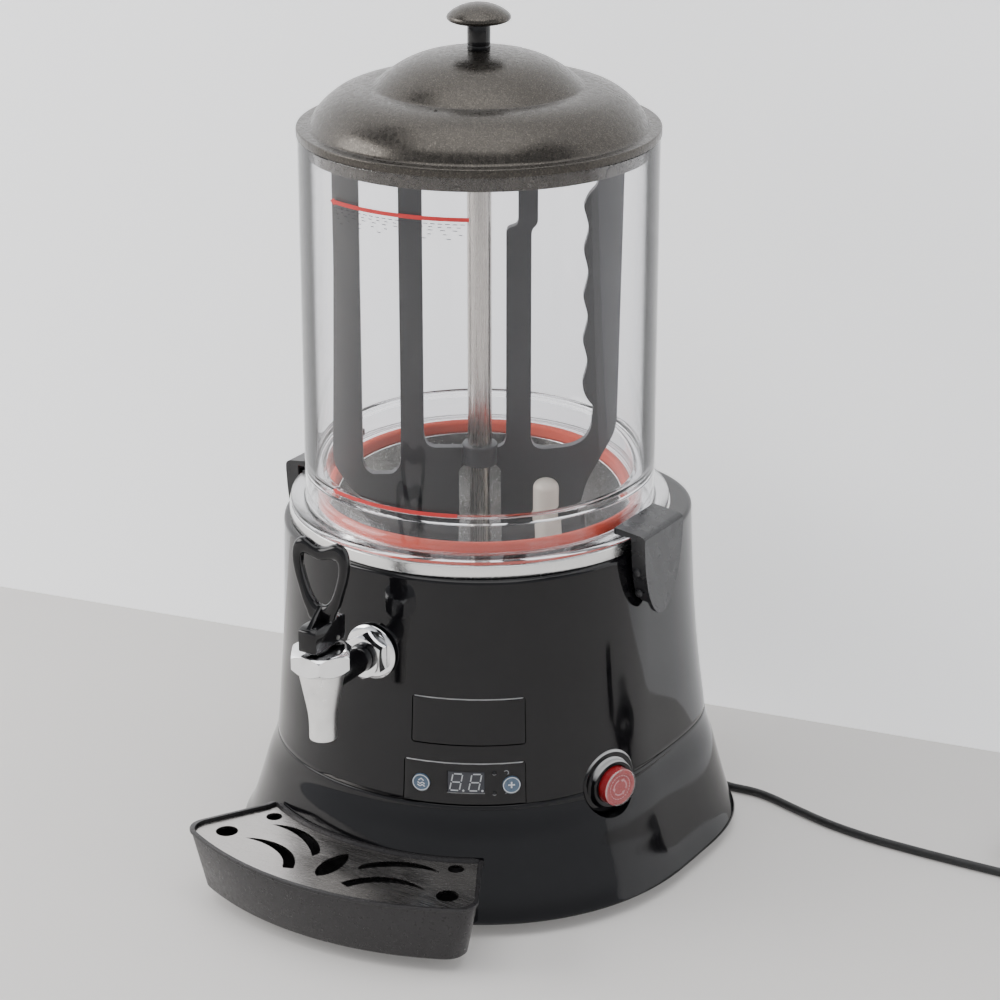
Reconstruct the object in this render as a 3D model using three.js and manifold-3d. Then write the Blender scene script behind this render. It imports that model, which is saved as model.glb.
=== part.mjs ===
// A hot chocolate dispenser: a clear bowl with a stirrer on a heated tank in a black housing,
// with a tap, a drip tray, two latches, a control panel and a mains cord.
// Millimetres, +Z up, front towards -Y. The bowl's axis is x = 0, y = 0 until the last step.

import * as THREE from 'three';
import { mergeVertices } from 'three/addons/utils/BufferGeometryUtils.js';
import Module from 'manifold-3d';

const wasm = await Module();
wasm.setup();

// ---------------------------------------------------------------- general
const DEG = Math.PI / 180;
const QUARTER = Math.PI / 2;
const TURN = Math.PI * 2;
const GAP = 0.3;
const WELD = 1e-4;
const FINE = 34;
const MEDIUM = 20;
const COARSE = 14;
const SMALL = 8;
const FAR = 400;
// How far a cutting piece runs past what it cuts, and how far a joined piece is sunk in.
const OVERRUN = 2;
const SINK = 0.5;

// ---------------------------------------------------------------- housing
// Plan of the housing at a height: half width, reach to the front, reach to the rear.
const PLAN = [
  { z: 9, half: 162.5, front: 163.5, rear: 150, square: 3 },
  { z: 20, half: 156.5, front: 158.5, rear: 149.5, square: 3 },
  { z: 40, half: 149.5, front: 152.5, rear: 147.5, square: 3 },
  { z: 60, half: 143.5, front: 147, rear: 145, square: 3 },
  { z: 83, half: 136.2, front: 139.6, rear: 143, square: 3 },
  { z: 120, half: 133.2, front: 136.2, rear: 141.5, square: 2.8 },
  { z: 150, half: 131.2, front: 133.7, rear: 140, square: 2.7 },
  { z: 180, half: 130.2, front: 132.5, rear: 139, square: 2.6 },
  { z: 236.9, half: 129, front: 130.6, rear: 137, square: 2.5 },
];
const FRONT_POWER = 2.12;
const REAR_START = 20;
const FRONT_STEPS = 20;
const REAR_STEPS = 12;
const WALL = 3;
const SHELL_BASE = 9;
const SHELL_TOP = 236.9;
const SEAM_LOW = 82.85;
const SEAM_HIGH = 83.15;
const TOP_SKIN = 3;
const TOP_OPENING = 118;
const EDGE_EASE = 0.8;
const WEDGE = { near: 100, far: 190 };
// The level stretch that every cut through the front skin spans.
const THROUGH = { start: 115, end: 160 };
const LIP = {
  root: 74, middle: 82, top: 88, rootInset: 2.5, inset: 3.3, inner: 5.3, notch: 1.5, side: 2,
};
const PAN = { low: 9.5, high: 11.5, inset: 3.3 };
const FOOT = { radius: 13, ease: 1.5, top: 9.2, x: 108, front: -78, rear: 92, boreTop: 4 };
const SCREW = { shank: 2, head: 4, headHigh: 2.6, clearance: 2.3 };
const VENT = { width: 60, height: 4, pitch: 12, count: 3, y: -60, x: -95 };

// ---------------------------------------------------------------- tank and bowl
const TANK_OUTLINE = [
  [7.25, 168.8], [93.5, 168.8], [98.7, 174.4], [98.7, 244.3], [126.7, 244.3],
  [126.7, 237.2], [127.9, 237.2], [127.9, 245.5], [97.5, 245.5], [97.5, 174.8], [93, 170],
  [7.25, 170],
];
const JACKET_OUTLINE = [
  [7.25, 150], [112, 150], [112, 237.2], [124, 237.2], [124, 238.7], [112, 238.7], [112, 244],
  [110.5, 244], [110.5, 151.5], [7.25, 151.5],
];
const GASKET_OUTLINE = [
  [98.8, 245.8], [105.2, 245.8], [105.2, 251.6], [103.8, 253], [100.2, 253], [98.8, 251.6],
];
const BOWL_OUTLINE = [
  [113.6, 245.8], [127, 245.8], [127, 249.5], [117.9, 249.5], [117.1, 250.3], [117.1, 495.4],
  [116.5, 496], [114.2, 496], [113.6, 495.4], [113.6, 275.5], [112.3, 272.3], [109.2, 271],
  [105.5, 271], [105.5, 246.1], [108, 246.1], [108, 268], [113.6, 268],
];
const STANDPIPE = { outer: 6.92, inner: 4.9, low: 146, high: 462 };
const ELEMENT = { ring: 70, tube: 3.5, z: 159, legLow: 138, legX: 14, clearance: 4 };

// ---------------------------------------------------------------- lid
const LID_OUTLINE = [
  [2.3, 550], [8, 549.8], [20, 548.9], [30, 547.4], [40, 544.9], [50, 540.6], [60, 534],
  [66.3, 528.3], [67.9, 527.1], [76, 526.7], [84, 525.1], [92, 521.9], [100, 515.8],
  [106, 509.3], [109.3, 502.6], [110.4, 501.6], [117.4, 501.6], [118, 501], [118, 496.3],
  [113, 496.3], [113, 486.5], [110.5, 486.5], [110.5, 497.4], [107.2, 499.6], [103.6, 507.8],
  [98, 513.7], [90.8, 519.4], [83.2, 522.4], [66.6, 524.3], [58.3, 531.6], [48.8, 538],
  [39.1, 542.2], [19.7, 546.2], [2.3, 547.2],
];
const VENT_HOLE = { x: 13.8, y: -73.5, radius: 1.3, low: 515, high: 535 };
const STEM_OUTLINE = [
  [2.3, 550.3], [7.5, 550.3], [7.5, 553], [7.1, 553.2], [7.5, 553.4], [7.5, 567.6],
  [5, 567.6], [5, 571.7], [2.3, 571.7],
];
const KNOB_OUTLINE = [
  [5.3, 567.9], [17.4, 567.9], [20.2, 569.3], [20.8, 570.8], [20.2, 572.4], [17, 575.2],
  [12, 577.9], [6, 579.6], [0, 580], [0, 572], [5.3, 572],
];
const LID_SCREW_OUTLINE = [
  [0, 543.9], [4.6, 544.3], [4.6, 546.9], [2, 546.9], [2, 571.4], [0, 571.4],
];

// ---------------------------------------------------------------- stirrer
const STIR_AZIMUTH = 31.75;
const STIR_THICK = 6;
const STIR_OUTER = [
  [-14.3, 178], [-14.3, 260], [-10, 264], [10, 264], [14.3, 260], [14.3, 178], [62, 178],
  [66, 183], [67.2, 222], [68.8, 236], [72.7, 251], [84.5, 273], [91.6, 286], [93.6, 296],
  [96.4, 463], [96.4, 478], [92.4, 482], [-94, 482], [-98, 478], [-98, 400], [-99.5, 330],
  [-101, 274], [-100.2, 265], [-95.3, 257], [-86, 244], [-74, 237], [-68.5, 228], [-66, 183],
  [-62, 178],
];
const STIR_LEFT_GAP = [
  [-80, 462], [-80, 266], [-78, 260.5], [-73.5, 257.3], [-60.2, 257.3], [-55.7, 260.5],
  [-53.7, 266], [-53.7, 462],
];
const STIR_MIDDLE_GAP = [
  [-38, 462], [-38, 283], [-35.8, 278], [-31.5, 275.7], [12.6, 275.7], [16, 277.4], [17.8, 281.5],
  [17.8, 424], [19, 426.6], [24.6, 428.6], [25.8, 431], [25.8, 462],
];
const STIR_RIGHT_GAP = [
  [38.8, 462], [38.8, 431], [37.6, 428.4], [35.6, 426.6], [34.6, 424], [34.6, 281.5],
  [36.6, 276.6], [41.6, 274.4], [62, 276.4], [71, 281], [75.6, 288.6], [77, 304.6],
  [71.2, 312], [69, 320], [71.2, 328], [73, 335], [71.2, 343], [69, 350], [71.2, 358], [73, 366],
  [71.2, 373], [69, 380], [71.2, 388], [73, 396], [71.2, 404], [69, 412], [71.2, 419], [73, 426],
  [71.2, 433.6], [69, 441], [72, 449], [78, 455], [79.5, 462],
];
const RING = { outer: 12, inner: 7.35, low: 264, high: 278 };
const HUB = { radius: 12.5, low: 464.3, sleeveTop: 484, bore: 4.3, boreTop: 480.3, room: 8 };
const SLEEVE = { outer: 8.2, inner: 7.25, low: 278.3, high: 464 };
const PEG = { radius: 8.7, along: 44.8, out: 12, low: 188, shoulder: 251, top: 257 };
const SHAFT = { radius: 4, low: 114, high: 480 };
const GEARBOX = { x: 45, y: 35, low: 108, high: 145, bore: 4.3 };
const MOTOR = { radius: 32, low: 34, high: 107.7, cap: 26, capLow: 28 };
const DRIVE_POST = { radius: 4, x: 39, y: 29 };

// ---------------------------------------------------------------- tap
const TAP_Y = -190;
const TAP_SOCKET = { start: 150, end: 181 };
const TAP_OUTLINE = [
  [6.6, 142.5], [8.4, 142.5], [8.8, 142.9], [8.8, 158], [15.15, 190.2], [15.15, 197],
  [12.6, 197], [12.6, 190.6], [6.9, 164], [5, 162], [5, 160.4], [6.6, 158.4],
];
const STEM_PIPE = { outer: 8.8, inner: 5.5, z: 181, start: 99.1, end: 180.6 };
const STEM_CLEARANCE = 9.1;
const STEM_HOLE = { start: 90, portEnd: 105, end: 150 };
const STEM_PORT = 5.6;
const ESCUTCHEON_OUTLINE = [
  [9.1, 133.2], [18.2, 133.2], [18.75, 133.8], [18.5, 134.8], [16.5, 135.8], [13.5, 136.2],
  [9.1, 136.2],
];
const NUT = { flats: 27, corner: 16.5, start: 136.5, end: 145.5, chamfer: 1.6 };
const BONNET_OUTLINE = [
  [15.45, 190.5], [17.8, 190.5], [21, 195.4], [21, 199.4], [19.2, 202.6], [16.2, 204.7],
  [3.4, 204.7], [3.4, 201.6], [15.45, 201.6],
];
const BONNET = { flats: 37.4, low: 180, high: 210 };
const BLOCK = { half: 6.5, front: -206, rear: -172, low: 206.5, high: 223, slope: 4 };
const SLOT = { half: 1.9, front: -197.6, rear: -173.6, high: 220.6 };
const PIN = { radius: 1.5, hole: 1.7, half: 7.3, y: -181, z: 209.8 };
const LOOP_OUTER = [
  [0, 222.4], [7.6, 222.4], [10.4, 228], [13.2, 234], [16, 243], [18.8, 252], [20.4, 261],
  [20.3, 268], [18.4, 273.4], [14.6, 276.3], [10, 276.2], [5.5, 274], [0, 272.6],
];
const LOOP_INNER = [
  [0, 233.5], [4.5, 235], [8.6, 240], [11.4, 247], [13.4, 254], [14.4, 260.5], [13.6, 264.6],
  [11, 266.3], [6.5, 265.3], [0, 263.8],
];
const LOOP_FRONT = -191.8;
const LOOP_DEEP = 7.6;
const FIN = { half: 1.6, low: 221, high: 233.6, front: -205, rear: -191 };
const PLUNGER = { rod: 3, low: 168.5, disc: 5.6, discTop: 170.6, flatFrom: 202.3, top: 207 };
const CROSSHEAD = { half: 1.5, front: -193.4, rear: -177.4, low: 206.2, high: 213.4 };
const CROSS_HOLE = { front: -185, rear: -179.15, low: 207.95, high: 211.65 };
const SEAT_OUTLINE = [
  [0, 164.4], [6.4, 164.4], [7, 165], [7, 168.2], [0, 168.2],
];

// ---------------------------------------------------------------- drip tray
const TRAY = {
  azimuth: 28.2, offset: 11.6, reach: 222, corner: 13, rearCorner: 9, rearY: -127.5,
  top: 51, low: 10, floor: 13, taper: 7, rim: 0.9, rimLow: 48.6, wall: 2.6, ledge: 46.4,
  ledgeWall: 5, rearWall: 2.3, rearLedge: 4.2, standoff: 0.6,
};
const GRILLE = { low: 46.7, high: 48.7, inset: 3, standoff: 3.4 };
// Slots and holes of the grille: azimuth, then the share of the way from the housing to the
// tray's front, and a hole's radius.
const GRILLE_HOLES = [[25.62, 0.6668, 7.4], [26.09, 0.116, 5.4]];
const OUTER_SLOT = [
  [21.36, 0.5937], [19.58, 0.5083], [17.17, 0.4468], [14.51, 0.4215], [11.81, 0.4313],
  [9.24, 0.4792], [7.38, 0.5475], [6.04, 0.6264], [5.23, 0.7011], [7.14, 0.7501],
  [8.59, 0.6482], [10.67, 0.5751], [13.1, 0.5326], [15.66, 0.5177], [18.34, 0.5319],
];
const INNER_SLOT = [
  [23.07, 0.2192], [21.01, 0.139], [18.1, 0.0832], [14.8, 0.0722], [11.48, 0.0996],
  [8.5, 0.1569], [6.26, 0.2398], [5.2, 0.3128], [5.63, 0.4005], [7.36, 0.3254], [9.71, 0.2573],
  [12.5, 0.2005], [15.86, 0.1669], [18.81, 0.1667],
];
const LEAF_SLOT = [
  [0, 0.1552], [1.22, 0.2262], [2.07, 0.3391], [2.26, 0.4513], [1.84, 0.5686], [1.04, 0.6531],
  [0, 0.6939], [-1.04, 0.6531], [-1.84, 0.5686], [-2.26, 0.4513], [-2.07, 0.3391],
  [-1.22, 0.2262],
];
const LUG = {
  x: 34, half: 6, low: 20, high: 27, front: -161.5, rear: -146, clearance: 0.5, cutFront: -170,
  cutRear: -140,
};

// ---------------------------------------------------------------- front panel
const RECESS = 1.5;
const PLATE = 1.2;
const LABEL = { start: 12.5, end: 44.2, low: 124, high: 156.5 };
const DISPLAY = { start: 10.5, end: 44, low: 82, high: 112.5, plateLow: 83.5 };
const WINDOW = { azimuth: 27.8, half: 12.4, low: 91.5, high: 106.5, clearance: 0.3, margin: 1 };
const KEY = { left: 15.6, right: 40, z: 97, radius: 5.9, ease: 0.5, hole: 6.25, wallHole: 6.4 };
const KEY_FLANGE = { radius: 7.3, front: 4.9, back: 6.4 };
const KEY_PROUD = 0.7;
const KEY_END = 128.2;
const KEY_STUB = 3;
const LAMP = { azimuth: 35.4, low: 91.6, high: 105.5, radius: 1.1, hole: 1.5, sunk: 0.25 };
const BOARD = {
  azimuth: 27.7, front: 120.8, thick: 1.6, half: 44, low: 85.2, high: 111.5, postRadius: 3,
  postX: 39.5, postZ: 98.4, blockSunk: 1.5,
};
const SWITCH = { half: 4, deep: 2.6, off: 27.4 };

// ---------------------------------------------------------------- stop button
const STOP_AZIMUTH = 70;
const STOP_Z = 84;
const STOP_BOSS = {
  radius: 26, back: 126.3, seat: 133, pocket: 22.6, bore: 14.8, near: 100, far: 175, lipGap: 1,
};
const BEZEL_OUTLINE = [
  [13.3, 112], [14.5, 112], [14.5, 133.3], [22.2, 133.3], [22.2, 135.4], [20.8, 136.8],
  [17.8, 136.8], [16.6, 138], [16.6, 141.2], [15.8, 142], [13.3, 142],
];
const STOP_NUT = { inner: 14.8, outer: 19, start: 121.6, end: 126 };
const STOP_BUTTON_OUTLINE = [
  [0, 116.4], [12.6, 116.4], [12.6, 139.4], [12.05, 139.9], [12.05, 147.5], [0, 147.5],
];
const STOP_LENS_OUTLINE = [
  [12.35, 140.3], [12.95, 140.3], [12.95, 148.6], [12.2, 149.5], [0, 149.5], [0, 147.8],
  [12.35, 147.8],
];
const CONTACT = { half: 12, high: 15, start: 96, end: 111.7 };

// ---------------------------------------------------------------- latches
const LATCH_OUTLINE = [
  [-26, 250], [-25.8, 243], [-24.6, 230], [-22.4, 219.5], [-19, 209.5], [-15, 202], [-10, 196],
  [-5, 192.6], [0, 191.5], [5, 192.6], [10, 196], [15, 202], [19, 209.5], [22.4, 219.5],
  [24.6, 230], [25.8, 243], [26, 250],
];
const LATCH_INSIDE = [
  [-23.6, 247], [-23.4, 243], [-22.2, 230.6], [-20.1, 220.4], [-16.8, 210.6], [-13, 203.4],
  [-9, 198.6], [9, 198.6], [13, 203.4], [16.8, 210.6], [20.1, 220.4], [22.2, 230.6],
  [23.4, 243], [23.6, 247],
];
const LATCH_X = { side: 130.8, inside: 138, outside: 141 };
const HOOK_PROFILE = [
  [118, 255], [137.6, 252.4], [140, 251.4], [141, 249.4], [141, 243], [138, 243], [138, 247],
  [135.6, 248.8], [131, 249.9], [118, 250.6],
];
const HOOK_HALF = 26;
const LATCH_TRIM = [
  [126, 190], [138, 190], [138, 203], [133.6, 204], [130.9, 212], [130.9, 214], [126, 214],
];
const PIVOT = { x: 134.3, z: 210.6, radius: 1.8, hole: 2.1, half: 20.8, head: 2.8, headAt: 21.2 };
const RIVET = { z: 226.2, half: 24.2, radius: 1.8, head: 3, headThick: 1.2, headAt: 24.4 };
const BRACKET = {
  back: 130.4, plate: 132, half: 14, ear: 11, low: 206.4, high: 222, eye: 3.3,
};

// ---------------------------------------------------------------- electrics and cord
const CONTROL = { x0: -105, x1: -52, y0: 40, y1: 112, low: 26, thick: 1.6, post: 3, inset: 6 };
const CONTROL_PARTS = [
  [-98, -82, 48, 70, 14], [-76, -60, 48, 62, 20], [-98, -70, 84, 104, 9],
];
const GLAND_X = 10;
const GLAND_Z = 30;
const GLAND_BOSS = { radius: 12, start: 139, end: 149.9, bore: 7.3, boreFrom: 130, boreTo: 160 };
const GLAND_END = 164;
const GLAND_OUTLINE = [
  [3.3, 136], [7, 136], [7, 150.2], [10.5, 150.2], [10.5, 152.4], [7, 153.2], [4.6, GLAND_END],
  [3.3, GLAND_END],
];
const CORD_RADIUS = 3;
const CORD_SIDES = 8;
const CORD_STEPS = 48;
// Stretches of cord nearer than this along it are neighbours, and aren't tested for a gap.
const CORD_APART = 30;
const CORD_ROUTE = [
  [10, 108, 30], [10, 124, 30], [10, 140, 30], [10, 156, 30], [10, 162, 30], [10, 168, 30],
  [11.3, 176.7, 29.5], [15, 184.6, 28.2], [20.9, 191.1, 26.2], [28.4, 195.7, 23.7],
  [36.9, 197.8, 20.8], [45.7, 197.5, 17.7], [54, 194.5, 14.5], [61.1, 189.4, 11.5],
  [73.3, 177.4, 6.3], [85.6, 165.4, 3.3], [97.9, 153.4, 3], [110.2, 141.4, 3],
  [113.9, 139.1, 3], [118, 137.3, 3], [122.2, 136.2, 3], [126.6, 135.7, 3], [131, 135.8, 3],
  [137.2, 136.4, 3], [143.5, 136.8, 3], [151.7, 136.2, 3], [160.5, 134.3, 3],
  [169.6, 131.6, 3], [179.1, 128.5, 3], [190, 125.2, 3], [213, 119, 3], [243, 114.6, 3],
  [276, 113.4, 3], [312, 113.6, 3], [350, 114.4, 3.2], [370, 114.5, 4.4],
];
const COIL = { x: 380, y: 161, sides: 6, stepsPerTurn: 24, lead: 9.7 };
// Each row: turns from the start, distance from the coil's middle, height.
const COIL_TURNS = [
  [0, 46.5, 4.4], [2.75, 28.4, 4.4], [3, 25.5, 7.7], [3.25, 28.4, 11], [6, 46.5, 11],
];
const COIL_EXIT = [
  [13, 0, 10.9], [28, 1.5, 10.6], [46, 6, 10.2], [60, 11, 10], [70, 14.6, 10],
];
const TIE = { azimuth: 200, inner: 22.6, outer: 50.2, low: 0.1, high: 15.9, thick: 1, half: 4 };
const PLUG = {
  half: 14, deep: 34, low: 0.4, high: 19.6, boot: 5.6, bootWide: 7.2, bootLength: 16, pin: 2.4,
  pinLength: 19, pinHalf: 9.5, bore: 3.3, boreDeep: 11, cordIn: 8, chamfer: 4,
};

// ---------------------------------------------------------------- colours
const COLOURS = {
  gloss: 0x131315, satin: 0x2a2b2e, steel: 0xb9bbbd, chrome: 0xd8dadc, bronze: 0x5c5a57,
  clear: 0xdde6ea, red: 0xc22a22, grey: 0x55585c, rubber: 0x1b1b1c, board: 0x1f5a3a,
  brass: 0xb08d4a, blue: 0x9fb2c6, tray: 0x4b4846, silver: 0xc9c9c6, cream: 0xd9d6cb,
};

// ---------------------------------------------------------------- solids
/** A geometry's positions as a closed solid that faces out. */
function solidOf(geometry) {
  const bare = new THREE.BufferGeometry();
  bare.setAttribute('position', geometry.getAttribute('position').clone());
  if (geometry.index) bare.setIndex(geometry.index.clone());
  const merged = mergeVertices(bare, WELD);
  const at = merged.getAttribute('position');
  const index = merged.index.array;
  const corners = [];
  let volume = 0;
  const a = new THREE.Vector3();
  const b = new THREE.Vector3();
  const c = new THREE.Vector3();
  for (let i = 0; i < index.length; i += 3) {
    const [p, q, r] = [index[i], index[i + 1], index[i + 2]];
    if (p === q || q === r || r === p) continue;
    corners.push(p, q, r);
    a.fromBufferAttribute(at, p);
    b.fromBufferAttribute(at, q);
    c.fromBufferAttribute(at, r);
    volume += a.dot(b.cross(c));
  }
  if (volume < 0) {
    for (let i = 0; i < corners.length; i += 3) {
      [corners[i + 1], corners[i + 2]] = [corners[i + 2], corners[i + 1]];
    }
  }
  const mesh = new wasm.Mesh({
    numProp: 3,
    vertProperties: new Float32Array(at.array),
    triVerts: new Uint32Array(corners),
  });
  return new wasm.Manifold(mesh);
}

/** The triangles of a solid. */
function geometryOf(solid) {
  const mesh = solid.getMesh();
  const geometry = new THREE.BufferGeometry();
  const points = new THREE.BufferAttribute(new Float32Array(mesh.vertProperties), 3);
  geometry.setAttribute('position', points);
  geometry.setIndex(new THREE.BufferAttribute(new Uint32Array(mesh.triVerts), 1));
  return geometry;
}

function cut(base, ...tools) {
  return geometryOf(tools.reduce((solid, tool) => solid.subtract(solidOf(tool)), solidOf(base)));
}

function join(base, ...others) {
  return geometryOf(others.reduce((solid, other) => solid.add(solidOf(other)), solidOf(base)));
}

function meet(base, ...others) {
  return geometryOf(others.reduce((solid, other) => solid.intersect(solidOf(other)), solidOf(base)));
}

// ---------------------------------------------------------------- plain shapes
/** A closed outline of [radius, height] turned about Z. */
function turned(outline, segments = FINE) {
  const points = outline.map(([radius, height]) => new THREE.Vector2(radius, height));
  points.push(points[0].clone());
  return new THREE.LatheGeometry(points, segments).rotateX(QUARTER);
}

function rod(radius, low, high, segments = SMALL) {
  return turned([[0, low], [radius, low], [radius, high], [0, high]], segments);
}

function tube(inner, outer, low, high, segments = COARSE) {
  return turned([[inner, low], [outer, low], [outer, high], [inner, high]], segments);
}

function block(x0, x1, y0, y1, z0, z1) {
  const box = new THREE.BoxGeometry(x1 - x0, y1 - y0, z1 - z0);
  return box.translate((x0 + x1) / 2, (y0 + y1) / 2, (z0 + z1) / 2);
}

/** An outline in XY made thick along Z. */
function sheet(outline, thick) {
  const shape = new THREE.Shape(outline.map(([x, y]) => new THREE.Vector2(x, y)));
  return new THREE.ExtrudeGeometry(shape, { depth: thick, bevelEnabled: false });
}

/** Turns Z to -Y, for pieces on a level axis that points to the front. */
function toFront(geometry) {
  return geometry.rotateX(QUARTER);
}

/** Turns Z to the level direction at an azimuth, measured from the front towards +X. */
function toSide(geometry, azimuth, height) {
  return geometry.rotateX(QUARTER).rotateZ(azimuth * DEG).translate(0, 0, height);
}

/** An outline in YZ made thick along X from a start. */
function sideSheet(outline, start, thick) {
  return sheet(outline, thick).rotateX(QUARTER).rotateZ(QUARTER).translate(start, 0, 0);
}

/** An outline in XZ made thick along Y, centred on y = 0. */
function frontSheet(outline, thick) {
  return sheet(outline, thick).rotateX(QUARTER).translate(0, thick / 2, 0);
}

function hexagon(flats, low, high) {
  const radius = flats / 2 / Math.cos(Math.PI / 6);
  return rod(radius, low, high, 6);
}

function mirrored(outline) {
  return outline.map(([x, y]) => [-x, y]);
}

/** A half outline from the middle line and back, made whole. */
function bothHalves(half) {
  const other = mirrored(half).reverse().filter(([x]) => x < 0);
  return [...half, ...other];
}

/** Rings of equal length joined into one closed body, capped at both ends. */
function stack(rings) {
  const count = rings[0].points.length;
  const positions = [];
  for (const { z, points } of rings) {
    for (const [x, y] of points) positions.push(x, y, z);
  }
  const index = [];
  for (let level = 0; level + 1 < rings.length; level += 1) {
    for (let i = 0; i < count; i += 1) {
      const a = level * count + i;
      const b = level * count + (i + 1) % count;
      index.push(a, b, b + count, a, b + count, a + count);
    }
  }
  for (const level of [0, rings.length - 1]) {
    const { z, points } = rings[level];
    const middle = positions.length / 3;
    const sum = points.reduce(([sx, sy], [x, y]) => [sx + x, sy + y], [0, 0]);
    positions.push(sum[0] / count, sum[1] / count, z);
    for (let i = 0; i < count; i += 1) {
      const a = level * count + i;
      const b = level * count + (i + 1) % count;
      if (level === 0) index.push(b, a, middle);
      else index.push(a, b, middle);
    }
  }
  const geometry = new THREE.BufferGeometry();
  geometry.setAttribute('position', new THREE.Float32BufferAttribute(positions, 3));
  geometry.setIndex(index);
  return geometry;
}

// ---------------------------------------------------------------- housing plan
/** The plan's sizes at any height, between the two nearest rows of the table. */
function planAt(z) {
  if (z <= PLAN[0].z) return PLAN[0];
  const last = PLAN[PLAN.length - 1];
  if (z >= last.z) return last;
  const above = PLAN.findIndex((row) => row.z >= z);
  const high = PLAN[above];
  const low = PLAN[above - 1];
  const share = (z - low.z) / (high.z - low.z);
  const mix = (key) => low[key] + (high[key] - low[key]) * share;
  return { half: mix('half'), front: mix('front'), rear: mix('rear'), square: mix('square') };
}

/** One ring of the housing at a height, moved in from its outside by an inset. */
function planRing(z, inset) {
  const plan = planAt(z);
  const half = plan.half - inset;
  const front = plan.front - inset;
  const rear = plan.rear - inset - REAR_START;
  const points = [];
  for (let i = 0; i <= FRONT_STEPS; i += 1) {
    const angle = Math.PI * i / FRONT_STEPS;
    const across = Math.cos(angle);
    const power = 2 / FRONT_POWER;
    const x = half * Math.sign(across) * Math.abs(across) ** power;
    points.push([x, -front * Math.abs(Math.sin(angle)) ** power]);
  }
  for (let i = 0; i <= REAR_STEPS; i += 1) {
    const angle = Math.PI * i / REAR_STEPS;
    const across = -Math.cos(angle);
    const power = 2 / plan.square;
    const x = half * Math.sign(across) * Math.abs(across) ** power;
    points.push([x, REAR_START + rear * Math.abs(Math.sin(angle)) ** power]);
  }
  points[FRONT_STEPS / 2][0] = 0;
  return points;
}

/** The housing's form between two heights, moved in by an inset. */
function form(low, high, inset, eased = 0) {
  const between = PLAN.map((row) => row.z).filter((z) => z > low && z < high - eased);
  const heights = [low, ...between];
  const rings = heights.map((z) => ({ z, points: planRing(z, inset) }));
  if (eased > 0) rings.push({ z: high - eased, points: planRing(high - eased, inset) });
  rings.push({ z: high, points: planRing(high, inset + eased) });
  return stack(rings);
}

/** How far the housing's outside is from the axis at an azimuth on its front half. */
function reachAt(azimuth, z) {
  const plan = planAt(z);
  const across = Math.sin(azimuth * DEG) / plan.half;
  const along = Math.cos(azimuth * DEG) / plan.front;
  const sum = Math.abs(across) ** FRONT_POWER + Math.abs(along) ** FRONT_POWER;
  return sum ** (-1 / FRONT_POWER);
}

/** A wedge between two azimuths and two heights, from near the axis to well outside. */
function sector(start, end, low, high) {
  const { near, far } = WEDGE;
  const at = (azimuth, radius) => [
    radius * Math.sin(azimuth * DEG), -radius * Math.cos(azimuth * DEG),
  ];
  const middle = (start + end) / 2;
  const outline = [
    at(start, near), at(start, far), at(middle, far), at(end, far), at(end, near),
  ];
  return sheet(outline, high - low).translate(0, 0, low);
}

/** The part of the housing's skin between two insets, within a wedge. */
function skin(wedge, low, high, outerInset, innerInset) {
  const outside = form(low - OVERRUN, high + OVERRUN, outerInset);
  const inside = form(low - OVERRUN * 2, high + OVERRUN * 2, innerInset);
  return cut(meet(wedge, outside), inside);
}

// ---------------------------------------------------------------- the group
const dispenser = new THREE.Group();
dispenser.name = 'hot_chocolate_dispenser';

function add(name, geometry, colour, extra = {}) {
  const body = geometryOf(solidOf(geometry));
  body.computeVertexNormals();
  const material = new THREE.MeshStandardMaterial({ color: COLOURS[colour], ...extra });
  material.name = `${name}_material`;
  const mesh = new THREE.Mesh(body, material);
  mesh.name = name;
  dispenser.add(mesh);
}

// ---------------------------------------------------------------- housing pieces
function onStop(geometry) {
  return toSide(geometry, STOP_AZIMUTH, STOP_Z);
}

const stopBoss = onStop(rod(STOP_BOSS.radius, STOP_BOSS.back, STOP_BOSS.far, MEDIUM));
const stopPocket = onStop(rod(STOP_BOSS.pocket, STOP_BOSS.seat, STOP_BOSS.far, MEDIUM));
const stopBore = onStop(rod(STOP_BOSS.bore, STOP_BOSS.near, STOP_BOSS.far, MEDIUM));
const stopRoom = onStop(rod(STOP_BOSS.radius, STOP_BOSS.near, STOP_BOSS.back, MEDIUM));

/** A round hole through the front skin at an azimuth and a height. */
function throughSkin(radius, azimuth, z, segments) {
  return toSide(rod(radius, THROUGH.start, THROUGH.end, segments), azimuth, z);
}

/** The opening for the display's screen, widened by a margin. */
function windowCut(margin) {
  const middle = (WINDOW.low + WINDOW.high) / 2;
  const tall = (WINDOW.high - WINDOW.low) / 2 + margin;
  const wide = WINDOW.half + margin;
  const opening = block(-wide, wide, -tall, tall, THROUGH.start, THROUGH.end);
  return toSide(opening, WINDOW.azimuth, middle);
}

function stemHole(radius) {
  return toFront(rod(radius, STEM_HOLE.start, STEM_HOLE.end, COARSE)).translate(0, 0, STEM_PIPE.z);
}

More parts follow.
